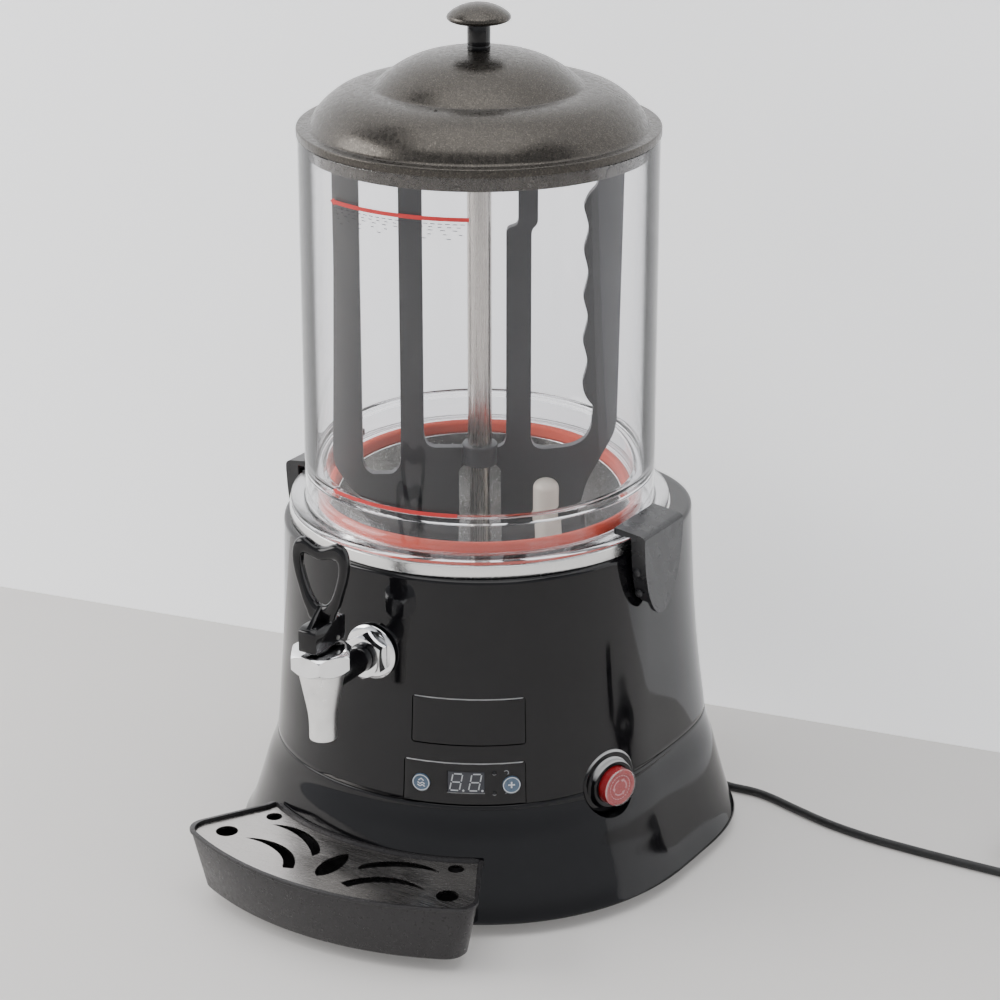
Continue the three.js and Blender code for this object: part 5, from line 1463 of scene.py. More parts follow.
# ------------------------------------------------------------------ tap
@dataclass
class Tap:
    """The tap: pipe, nut, spout, bonnet, the looped handle and the valve in it."""

    y: float = -190.0
    height: float = 181.0
    spout: list = field(default_factory=lambda: [
        (6.6, 142.5), (8.4, 142.5), (8.8, 142.9), (8.8, 158), (15.15, 190.2), (15.15, 197),
        (12.6, 197), (12.6, 190.6), (6.9, 164), (5, 162), (5, 160.4), (6.6, 158.4),
    ])
    bonnet: list = field(default_factory=lambda: [
        (15.45, 190.5), (17.8, 190.5), (21.4, 194.4), (21.4, 201.4), (19.4, 203.8), (16.2, 204.7),
        (3.4, 204.7), (3.4, 201.6), (15.45, 201.6),
    ])
    plate: list = field(default_factory=lambda: [
        (9.1, 133.2), (18.2, 133.2), (18.75, 133.8), (18.5, 134.8), (16.5, 135.8), (13.5, 136.2),
        (9.1, 136.2),
    ])
    nut: list = field(default_factory=lambda: [
        (9.1, 136.5), (15.1, 136.5), (16.5, 138.1), (16.5, 143.9), (13.5, 145.5), (9.1, 145.5),
    ])
    nut_flats: float = 27.0
    bonnet_flats: float = 36.8
    loop_outer: list = field(default_factory=lambda: [
        (0, 222.4), (7.6, 222.4), (10.4, 228), (13.2, 234), (16, 243), (18.8, 252), (20.4, 261),
        (20.3, 268), (18.4, 273.4), (14.6, 276.3), (10, 276.2), (5.5, 274), (0, 272.6),
    ])
    loop_inner: list = field(default_factory=lambda: [
        (0, 233.5), (4.5, 235), (8.6, 240), (11.4, 247), (13.4, 254), (14.4, 260.5),
        (13.6, 264.6), (11, 266.3), (6.5, 265.3), (0, 263.8),
    ])
    loop_front: float = -191.8
    loop_deep: float = 7.6
    block: list = field(default_factory=lambda: [
        (-206, 206.5), (-172, 206.5), (-172, 223), (-202, 223), (-206, 221),
    ])
    block_half: float = 6.5

    @staticmethod
    def hexagon(flats: float, low: float, high: float, turn: float = 0.0) -> Array:
        """Sections of a six-sided bar.

        Args:
            flats: Width across its flats.
            low: Where it starts along its axis.
            high: Where it ends.
            turn: Turn about the axis in degrees.

        Returns:
            Sections for a sweep.
        """
        angle = np.radians(np.arange(6) * 60 + turn)
        radius = flats / 2 / math.cos(math.pi / 6)
        outline = np.stack([radius * np.cos(angle), radius * np.sin(angle)], -1)
        return np.stack([flat(outline, low), flat(outline, high)])

    @staticmethod
    def along(half: list, count: int) -> Array:
        """A half outline closed by its mirror image, in equal steps along its length.

        Args:
            half: Corners from the middle line round to the middle line.
            count: Points wanted.

        Returns:
            The closed outline, shape (count, 2).
        """
        side = np.array(half, float)
        whole = np.concatenate([side, side[-2:0:-1] * [-1, 1]])
        curve = smooth_loop(whole, 8)
        closed = np.concatenate([curve, curve[:1]])
        run = np.concatenate([[0], np.cumsum(np.linalg.norm(np.diff(closed, axis=0), axis=1))])
        at = np.arange(count) * run[-1] / count
        return np.stack([np.interp(at, run, closed[:, k]) for k in (0, 1)], -1)

    def loop(self) -> bpy.types.Object:
        """The heart-shaped grip: a squarish round section carried between two outlines.

        The section is |u|^3 + |v|^3 = 1, with u across from the inner to the outer outline and
        v along the depth.

        Returns:
            The grip.
        """
        outer, inner = self.along(self.loop_outer, 120), self.along(self.loop_inner, 120)
        angle = np.arange(28) * FULL_TURN / 28
        across = np.sign(np.cos(angle)) * np.abs(np.cos(angle)) ** (2 / 2.7)
        deep = np.sign(np.sin(angle)) * np.abs(np.sin(angle)) ** (2 / 2.7)
        middle, half = (outer + inner) / 2, (outer - inner) / 2
        flat_points = middle[:, None] + half[:, None] * across[None, :, None]
        depth = self.loop_front + self.loop_deep / 2 * (1 + deep)
        grid = np.stack([
            flat_points[..., 0], np.broadcast_to(depth, flat_points.shape[:2]),
            flat_points[..., 1],
        ], -1)
        return from_loop("grip_loop", grid)

    def side_slab(self, name: str, outline: list, half: float, edge: float,
                  corner: float) -> bpy.types.Object:
        """A side view of (y, z) made thick across the middle plane.

        Args:
            name: The piece's name.
            outline: Corners.
            half: Half the thickness.
            edge: Width of the eased rims.
            corner: Rounding of the outline's corners.

        Returns:
            The slab.
        """
        shape = eased(np.array(outline, float), corner, 5, corner)
        layers = slab(shape, -half, half, edge)
        return from_sweep(name, np.stack([layers[..., 2], layers[..., 0], layers[..., 1]], -1))

    def handle(self) -> bpy.types.Object:
        """Joins the block, the web and the grip, and slots the block for the valve's head.

        Returns:
            The handle.
        """
        block = self.side_slab("lever_handle", self.block, self.block_half, 0.9, 1.4)
        web = self.side_slab("web", [(-205, 221), (-190, 221), (-190, 233.6)], 1.6, 0.3, 0.5)
        combine(block, [web, self.loop()], "UNION")
        slot = rounded_box("cutter", (-1.9, -197.6, 204), (1.9, -173.6, 220.6), 0)
        bore = turned(np.array([(0, -10.0), (1.7, -10.0), (1.7, 10.0), (0, 10.0)]), 24)
        hole = from_loop("cutter", bore[..., [2, 0, 1]] + [0, -181.0, 209.8])
        return combine(block, [slot, hole], "DIFFERENCE")

    def dress(self, on: Dressing) -> None:
        """Builds the tap's pieces.

        Args:
            on: The frame.
        """
        level = {"azimuth": 0.0, "height": self.height}
        pipe = [(5.5, 99.1), (8.8, 99.1), (8.8, 180.6), (5.5, 180.6)]
        on.put(lathe("tap_pipe", pipe, 64, 0.4, **level), Finish.HANDLE,
               replaces=("tap_stem",))
        on.put(lathe("tap_plate", self.plate, 96, 0.4, **level), Finish.CHROME,
               replaces=("tap_escutcheon",))
        nut = lathe("cap_nut", self.nut, 96, 0.3, **level)
        hexagon = at_azimuth(self.hexagon(self.nut_flats, 134, 148, 30), 0.0, self.height)
        combine(nut, [from_sweep("cutter", hexagon)], "INTERSECT")
        on.put(soften(nut, 0.35), Finish.CHROME, replaces=("tap_nut",))
        body = lathe("spout_body", self.spout, 96, 0.5, place=(0, self.y))
        socket = rod("cutter", 9.1, 150, 181, 48, azimuth=0.0, height=self.height)
        on.put(combine(body, [socket], "DIFFERENCE"), Finish.SPOUT,
               replaces=("tap_body",))
        bonnet = lathe("spout_bonnet", self.bonnet, 96, 0.5, place=(0, self.y))
        sides = self.hexagon(self.bonnet_flats, 180, 210) + [0, self.y, 0]
        combine(bonnet, [from_sweep("cutter", sides)], "INTERSECT")
        on.put(soften(bonnet, 0.4), Finish.CHROME, replaces=("tap_bonnet",))
        on.put(self.handle(), Finish.HANDLE, "tap_lever", ("tap_handle",))
        on.keep(Finish.STEEL, "tap_pin", "tap_plunger")
        on.keep(Finish.FOOT, "tap_seat")


# ------------------------------------------------------------------ drip tray
@dataclass
class DripTray:
    """The tray and the grille that lies in it."""

    azimuth: float = 28.2
    offset: float = 11.6
    reach: float = 222.0
    corner: float = 13.0
    rear_corner: float = 9.0
    rear_y: float = -127.5
    low: float = 10.0
    floor: float = 13.0
    taper: float = 7.0
    rim: float = 0.9
    rim_low: float = 48.6
    top: float = 51.0
    ledge: float = 46.4
    wall: float = 2.6
    ledge_wall: float = 5.0
    standoff: float = 0.6
    grille_low: float = 46.7
    grille_high: float = 48.7
    grille_inset: float = 3.0
    grille_standoff: float = 3.4
    holes: list = field(default_factory=lambda: [(86.4, -180.2, 7.4), (71.8, -146.6, 5.4)])
    outer_slot: list = field(default_factory=lambda: [
        (71, -181.5), (63.4, -178.2), (54.6, -176.7), (45.9, -177.3), (37.6, -179.8),
        (30, -184.4), (24.6, -189.8), (20.7, -195.6), (18.4, -200.9), (25.5, -203.5),
        (29.6, -196), (35.8, -190), (43.2, -185.6), (51.2, -182.6), (60, -181),
    ])
    inner_slot: list = field(default_factory=lambda: [
        (66.6, -156.4), (59, -153.6), (49.9, -152.7), (40.8, -154.4), (32.1, -158.1),
        (24.4, -163.2), (18.6, -169.5), (15.9, -174.7), (17.8, -180.5), (22.6, -174.9),
        (29, -169.4), (36.4, -164.2), (45.4, -159.8), (53.6, -157.4),
    ])
    leaf_slot: list = field(default_factory=lambda: [
        (0, -164.6), (3.6, -169.4), (6.4, -177), (7.3, -184.6), (6.2, -192.6), (3.6, -198.4),
        (0, -201.2), (-3.6, -198.4), (-6.2, -192.6), (-7.3, -184.6), (-6.4, -177),
        (-3.6, -169.4),
    ])

    def outline(self, inset: float) -> Array:
        """The tray from above: an arc about the bowl's axis, two straight sides, round corners.

        A side runs along the tray's azimuth at an offset from the axis. Each corner is an arc
        that touches both of its neighbours.

        Args:
            inset: How far in from the rim.

        Returns:
            The outline, shape (n, 2).
        """
        angle = math.radians(self.azimuth)
        along = np.array([math.sin(angle), -math.cos(angle)])
        inward = np.array([-math.cos(angle), -math.sin(angle)])
        shift = inset - self.offset
        rear = self.rear_corner
        forward = (-self.rear_y + rear + inward[1] * (shift + rear)) / -along[1]
        middle = along * forward + inward * (shift + rear)
        t = np.linspace(0, 1, 12)
        out = math.pi / 2 - ((math.pi / 2 - angle) * t + angle) - angle + angle * t
        rear_arc = middle + rear * np.stack([np.cos(out), np.sin(out)], -1)
        distance = self.reach - inset - self.corner
        forward = math.sqrt(distance**2 - (shift + self.corner) ** 2)
        middle = along * forward + inward * (shift + self.corner)
        end = math.atan2(middle[0], -middle[1])
        bearing = angle + math.pi / 2 + (end - angle - math.pi / 2) * np.linspace(0, 1, 16)
        corner_arc = middle + self.corner * np.stack([np.sin(bearing), -np.cos(bearing)], -1)
        bearing = end * (1 - np.linspace(0, 1, 32)[1:])
        reach = self.reach - inset
        front = reach * np.stack([np.sin(bearing), -np.cos(bearing)], -1)
        side = np.concatenate([rear_arc, corner_arc, front])
        return np.concatenate([side, side[-2::-1] * [-1, 1]])

    def form(self, name: str, levels: list[tuple[float, float]]) -> bpy.types.Object:
        """Stacks outlines of the tray.

        Args:
            name: The piece's name.
            levels: Height and inset of each outline.

        Returns:
            The stacked body.
        """
        return from_sweep(name, np.stack([flat(self.outline(s), z) for z, s in levels]))

    def housing(self, clearance: float) -> bpy.types.Object:
        """A cutter in the housing's form, grown by a clearance."""
        path = [(z, -clearance) for z in np.linspace(self.low - 1, self.top + 6, 14)]
        return from_sweep("cutter", plan_rings(np.array(path), 140, 40))

    def tray(self) -> bpy.types.Object:
        """Hollows the tray out, with a ledge for the grille and a band that steps out round its
        rim.

        Returns:
            The tray.
        """
        slope = self.taper / (self.rim_low - self.low)

        def inset_at(z: float) -> float:
            """The wall's inset at a height, which its taper gives."""
            return self.rim + (self.rim_low - z) * slope

        whole = self.form("tray_body", [
            (self.low, inset_at(self.low) + 1.4), (self.low + 0.4, inset_at(self.low) + 0.5),
            (self.low + 1.4, inset_at(self.low + 1.4)), (self.rim_low - 0.1, self.rim),
            (self.rim_low, self.rim), (self.rim_low, 0.25), (self.rim_low + 0.3, 0.0),
            (self.top - 0.5, 0.0), (self.top - 0.15, 0.15), (self.top, 0.5),
        ])
        hollow = self.form("cutter", [
            (self.floor, inset_at(self.floor) + self.wall + 1.2),
            (self.floor + 1.2, inset_at(self.floor) + self.wall),
            (self.ledge, self.ledge_wall),
        ])
        combine(hollow, [self.housing(self.standoff + 4.2)], "DIFFERENCE")
        upper = self.form("cutter", [(self.ledge - 0.1, self.wall), (self.top + 2, self.wall)])
        combine(upper, [self.housing(self.standoff + 2.3)], "DIFFERENCE")
        combine(whole, [hollow, upper, self.housing(self.standoff)], "DIFFERENCE")
        lugs = [
            rounded_box("lug", (side * 34 - 6, -161.5, 20), (side * 34 + 6, -146, 27), 0.0)
            for side in (-1, 1)
        ]
        return soften(combine(whole, lugs, "UNION"), 0.45)

    def opening(self, outline: list, broad: float = 4.0) -> bpy.types.Object:
        """A cutter for one opening of the grille."""
        shape = eased(np.array(outline, float), 1.4, 5, broad)
        return from_sweep("cutter", slab(shape, self.grille_low - 2, self.grille_high + 2))

    def grille(self) -> bpy.types.Object:
        """Cuts the grille's plate to the housing's curve and opens its slots and holes.

        Returns:
            The grille.
        """
        plate = self.form("grille_plate", [
            (self.grille_low, self.grille_inset), (self.grille_high, self.grille_inset),
        ])
        combine(plate, [self.housing(self.grille_standoff)], "DIFFERENCE")
        cutters = [self.opening(self.leaf_slot, 2.5)]
        for side in (1, -1):
            for slot in (self.outer_slot, self.inner_slot):
                cutters.append(self.opening([(x * side, y) for x, y in slot]))
            for x, y, radius in self.holes:
                cutters.append(rod("cutter", radius, 44, 52, 48, place=(x * side, y)))
        combine(plate, cutters, "DIFFERENCE")
        return soften(plate, 0.35)

    def dress(self, on: Dressing) -> None:
        """Builds the tray and its grille.

        Args:
            on: The frame.
        """
        on.put(self.tray(), Finish.TRAY, "tray", ("drip_tray",))
        on.put(self.grille(), Finish.GRILLE, "grille", ("drip_grille",))


# ------------------------------------------------------------------ control panel
@dataclass
class ControlPanel:
    """The display panel with its screen, digits, keys and lamps, and the bare label plate."""

    plate: float = 1.2
    gap: float = 0.3
    label: Point = (12.5, 44.2, 124.0, 156.5)
    display: Point = (10.5, 44.0, 83.5, 112.5)
    corner: float = 0.9
    board_azimuth: float = 27.7
    board_front: float = 120.8
    board_half: float = 44.0
    board_low: float = 85.2
    board_high: float = 111.5
    window_azimuth: float = 27.8
    window_half: float = 12.4
    window_low: float = 91.5
    window_high: float = 106.5
    keys: Point = (15.6, 40.0)
    key_height: float = 97.0
    key_radius: float = 5.9
    key_hole: float = 6.25
    lamp_azimuth: float = 35.4
    lamp_mark_step: float = 3.2
    lamp_mark_width: float = 0.6
    lamps: Point = (91.6, 105.5)

    def area(self, place: Point) -> Array:
        """A panel's outline, smaller than its recess by the gap."""
        start, end, low, high = place
        side = math.degrees(self.gap / 137)
        return rounded_area(start + side, end - side, low, high - self.gap, self.corner)

    def bar(self, middle: Point, size: Point, level: Point, turn: float = 0.0) -> Array:
        """Sections of a small flat bar in a key's own plane.

        Args:
            middle: Its middle, across and up.
            size: Its length and width.
            level: Where it starts and ends outwards.
            turn: Its turn in degrees.

        Returns:
            Sections for a sweep.
        """
        c, s = math.cos(math.radians(turn)), math.sin(math.radians(turn))
        half = np.array([[-1, -1], [1, -1], [1, 1], [-1, 1]]) * np.array(size) / 2
        outline = half @ np.array([[c, s], [-s, c]]) + np.array(middle)
        return np.stack([flat(outline, at) for at in level])

    def ribbon(self, line: Array, width: float, level: Point) -> Array:
        """Sections of a flat ribbon of even width along a line in a key's own plane.

        Args:
            line: Its middle line, shape (n, 2).
            width: Its width.
            level: Where it starts and ends outwards.

        Returns:
            Sections for a sweep.
        """
        ahead = np.gradient(line, axis=0)
        ahead /= np.linalg.norm(ahead, axis=1, keepdims=True)
        side = np.stack([-ahead[:, 1], ahead[:, 0]], -1) * width / 2
        low, high = level
        a, b = line - side, line + side
        return np.stack([flat(a, low), flat(b, low), flat(b, high), flat(a, high)], 1)

    def placed(self, name: str, sections: list[Array], azimuth: float,
               height: float) -> bpy.types.Object:
        """Turns several small pieces to an azimuth and makes them one object.

        Args:
            name: The object's name.
            sections: Each piece's sections.
            azimuth: Degrees from the front.
            height: Height of their origin.

        Returns:
            The object.
        """
        return merge(name, [
            from_sweep("mark", at_azimuth(grid, azimuth, height)) for grid in sections
        ])

    def panels(self, on: Dressing) -> None:
        """Builds the two curved plates and opens the display's.

        Args:
            on: The frame.
        """
        display = skin_plate("display_face", self.area(self.display), 0.0, self.plate, 0.55, 10)
        half, low, high = self.window_half, self.window_low, self.window_high
        middle = (low + high) / 2
        window = self.bar((0, 0), (half * 2, high - low), (118, 150))
        cutters = [from_sweep("cutter", at_azimuth(window, self.window_azimuth, middle))]
        for azimuth in self.keys:
            cutters.append(rod("cutter", self.key_hole, 118, 150, 64, azimuth=azimuth,
                               height=self.key_height))
        for height in self.lamps:
            cutters.append(rod("cutter", 1.5, 118, 150, 24, azimuth=self.lamp_azimuth,
                               height=height))
        combine(display, cutters, "DIFFERENCE")
        on.put(soften(display, 0.18), Finish.PANEL, replaces=("display_panel",))
        start, end, low, high = self.label
        label = skin_plate("label_face", self.area((start, end, low + self.gap, high)), 0.0,
                           self.plate, 0.55, 12)
        on.put(label, Finish.PANEL, replaces=("label_plate",))

    def board(self, on: Dressing) -> None:
        """Builds the small board behind the panel with its two key switches and two lamps.

        Args:
            on: The frame.
        """
        front, low, high = self.board_front, self.board_low, self.board_high
        azimuth, middle = self.board_azimuth, (low + high) / 2
        plate = self.bar((0, 0), (self.board_half * 2, high - low), (front - 1.6, front))
        on.put(self.placed("board_plate", [plate], azimuth, middle), Finish.BOARD,
               replaces=("display_board",))
        pieces = []
        for side in (-27.4, 27.4):
            case = self.bar((side, 0), (8, 8), (front - 0.02, front + 1.9))
            pieces.append(from_sweep("case", at_azimuth(case, azimuth, self.key_height)))
            stem = circle(1.8, 24) + [side, 0]
            stem = np.stack([flat(stem, at) for at in (front + 1.8, front + 2.6)])
            pieces.append(from_sweep("stem", at_azimuth(stem, azimuth, self.key_height)))
        on.put(merge("key_switches", pieces), Finish.INSIDE)
        lenses = []
        for height in self.lamps:
            top = float(reach_at(np.array(self.lamp_azimuth), np.array(height))) - 0.25
            dome = [(0, front - 0.02), (1.1, front - 0.02), (1.1, top - 0.5), (0.8, top - 0.12),
                    (0, top)]
            lenses.append(lathe("dome", dome, 24, 0.1, azimuth=self.lamp_azimuth,
                                height=height))
        on.put(merge("lamp_lenses", lenses), Finish.LENS)

    def on_window(self, sections: Array) -> Array:
        """Bends sections in the window's plane, with insets as their levels, to the skin.

        Args:
            sections: Points across, up and inset, shape (..., 3).

        Returns:
            Points from the bowl's axis, same shape.
        """
        middle = (self.window_low + self.window_high) / 2
        reach = float(reach_at(np.array(self.window_azimuth), np.array(middle)))
        places = sections[..., :2] / [math.radians(reach), 1] + [self.window_azimuth, middle]
        return on_skin(places, sections[..., 2])

    def screen(self, on: Dressing) -> None:
        """Builds the screen's curved pane and its two leaning digits with their points.

        Args:
            on: The frame.
        """
        half, tall = self.window_half - 0.3, (self.window_high - self.window_low) / 2 - 0.3
        outline = circle(1.0, 240)
        outline /= np.abs(outline).max(axis=1, keepdims=True)
        shares = [(0.5, 1.16), (1, 1.16), (1, 0.5), (0.985, 0.35), (0.5, 0.35)]
        rings = [flat(outline * [half * share, tall * share], inset) for share, inset in shares]
        pane = from_sweep("screen_pane", self.on_window(np.stack(rings)))
        on.put(pane, Finish.SCREEN)
        level = (0.37, 0.26)
        marks = []
        for across in (-6.4, 6.0):
            for up in (-5.7, 0.0, 5.7):
                marks.append(self.bar((across + up * 0.2, up), (5.0, 0.8), level))
            for side in (-1, 1):
                for up in (-2.85, 2.85):
                    lean = across + up * 0.2 + side * 3.2
                    marks.append(self.bar((lean, up), (4.6, 0.8), level, 79))
            dot = circle(0.75, 16) + [across + 4.7, -5.7]
            marks.append(np.stack([flat(dot, at) for at in level]))
        digits = [from_sweep("mark", self.on_window(grid)) for grid in marks]
        on.put(merge("screen_digits", digits), Finish.DIGIT)

    def key(self, on: Dressing, side: str, azimuth: float) -> None:
        """Builds one key: its cap, a light ring round it, and a plain icon on it.

        Args:
            on: The frame.
            side: left or right.
            azimuth: Degrees from the front.
        """
        face = float(reach_at(np.array(azimuth), np.array(self.key_height)))
        top, radius = face + 0.7, self.key_radius
        body = f"{side}_key"
        cap = [
            (0, 128.2), (3, 128.2), (3, face - 6.4), (7.3, face - 6.4), (7.3, face - 4.9),
            (radius, face - 4.9), (radius, top), (radius - 0.9, top), (radius - 1.3, top - 0.35),
            (0, top - 0.35),
        ]
        place = {"azimuth": azimuth, "height": self.key_height}
        on.put(lathe(f"key_cap_{side}", cap, 72, 0.22, **place), Finish.KEY,
               body, (f"button_{side}",))
        ring = [(radius - 0.8, top - 0.4), (radius - 0.25, top - 0.4), (radius - 0.25, top + 0.08),
                (radius - 0.8, top + 0.08)]
        icon_ring = lathe("ring", ring, 64, 0.03, **place)
        level = (top - 0.37, top - 0.18)
        marks = []
        if side == "right":
            marks = [self.bar((0, 0), (4.4, 1.0), level), self.bar((0, 0), (1.0, 4.4), level)]
        else:
            t = np.linspace(-1, 1, 17)
            wave = np.stack([t * 2.5, 0.5 * np.sin(t * math.pi * 1.5)], -1)
            marks = [self.ribbon(wave + [0, rise], 0.6, level) for rise in (-2.2, -0.4)]
            marks.append(self.ribbon(np.array([[-1.7, 1.4], [0, 2.9], [1.7, 1.4]]), 0.7, level))
        icon = self.placed("icon", marks, azimuth, self.key_height)
        on.put(merge(f"key_icon_{side}", [icon_ring, icon]), Finish.MARK, body)

    def lamp_marks(self, on: Dressing) -> None:
        """Draws the two small lamp marks, a coil of heat and a stirring paddle.

        Args:
            on: The frame.
        """
        azimuth = self.lamp_azimuth + self.lamp_mark_step
        turn = np.linspace(-0.8 * math.pi, 0.8 * math.pi, 19)
        round_arrow = np.stack([1.5 * np.cos(turn), 1.5 * np.sin(turn)], -1)
        flame = np.stack([0.5 * np.sin(turn * 1.4), turn * 0.62], -1)
        for word, line, height in (("upper", round_arrow, self.lamps[1]),
                                   ("lower", flame, self.lamps[0])):
            reach = float(reach_at(np.array(azimuth), np.array(height)))
            mark = self.ribbon(line, self.lamp_mark_width, (reach - 0.3, reach + 0.06))
            on.put(self.placed(f"lamp_mark_{word}", [mark], azimuth, height), Finish.DIM_MARK)

    def dress(self, on: Dressing) -> None:
        """Builds the panel's pieces.

        Args:
            on: The frame.
        """
        self.panels(on)
        self.board(on)
        self.screen(on)
        for side, azimuth in zip(("left", "right"), self.keys):
            self.key(on, side, azimuth)
        self.lamp_marks(on)


# ------------------------------------------------------------------ stop button
@dataclass
class StopButton:
    """The round red button in its bezel, under a clear cover."""

    azimuth: float = 70.0
    arc_radius: float = 5.3
    dash_radius: float = 8.3
    height: float = 84.0
    bezel: list = field(default_factory=lambda: [
        (13.3, 112), (14.5, 112), (14.5, 133.3), (22.2, 133.3), (22.2, 135.4), (20.8, 136.8),
        (17.8, 136.8), (16.6, 138), (16.6, 141.2), (15.8, 142), (13.3, 142),
    ])
    cap: list = field(default_factory=lambda: [
        (0, 116.4), (12.6, 116.4), (12.6, 139.4), (12.05, 139.9), (12.05, 147.5), (9.6, 147.5),
        (9.3, 147.1), (0, 147.1),
    ])
    cover: list = field(default_factory=lambda: [
        (12.35, 140.3), (12.95, 140.3), (12.95, 148.6), (12.2, 149.5), (0, 149.5), (0, 147.8),
        (12.35, 147.8),
    ])

    def arrows(self) -> bpy.types.Object:
        """Three round arrows and a ring on the cap's face.

        Returns:
            The marks as one piece.
        """
        level = (147.0, 147.3)
        pieces = []
        panel = ControlPanel()
        for start in (100, 220, 340):
            turn = np.radians(np.linspace(start, start + 78, 14))
            line = np.stack([self.arc_radius * np.cos(turn), self.arc_radius * np.sin(turn)], -1)
            pieces.append(from_sweep("arc", at_azimuth(
                panel.ribbon(line, 0.9, level), self.azimuth, self.height)))
            a, b = math.radians(start + 76), math.radians(start + 104)
            tip = np.array([
                [4.0 * math.cos(a), 4.0 * math.sin(a)], [6.6 * math.cos(a), 6.6 * math.sin(a)],
                [5.2 * math.cos(b), 5.2 * math.sin(b)],
            ])
            head = np.stack([flat(tip, at) for at in level])
            pieces.append(from_sweep("head", at_azimuth(head, self.azimuth, self.height)))
        for start in range(0, 360, 15):
            turn = np.radians(np.linspace(start, start + 9, 4))
            line = np.stack([self.dash_radius * np.cos(turn), self.dash_radius * np.sin(turn)], -1)
            pieces.append(from_sweep("dash", at_azimuth(
                panel.ribbon(line, 0.6, level), self.azimuth, self.height)))
        return merge("stop_arrows", pieces)

    def dress(self, on: Dressing) -> None:
        """Builds the button's pieces.

        Args:
            on: The frame.
        """
        place = {"azimuth": self.azimuth, "height": self.height}
        on.put(lathe("button_bezel", self.bezel, 96, 0.5, **place), Finish.PANEL,
               replaces=("stop_bezel",))
        on.put(lathe("button_cap", self.cap, 96, 0.3, **place), Finish.STOP,
               "stop_key", ("stop_button",))
        on.put(lathe("button_cover", self.cover, 96, 0.35, **place), Finish.COVER,
               "stop_key", ("stop_lens",))
        on.put(self.arrows(), Finish.STOP_MARK, "stop_key")


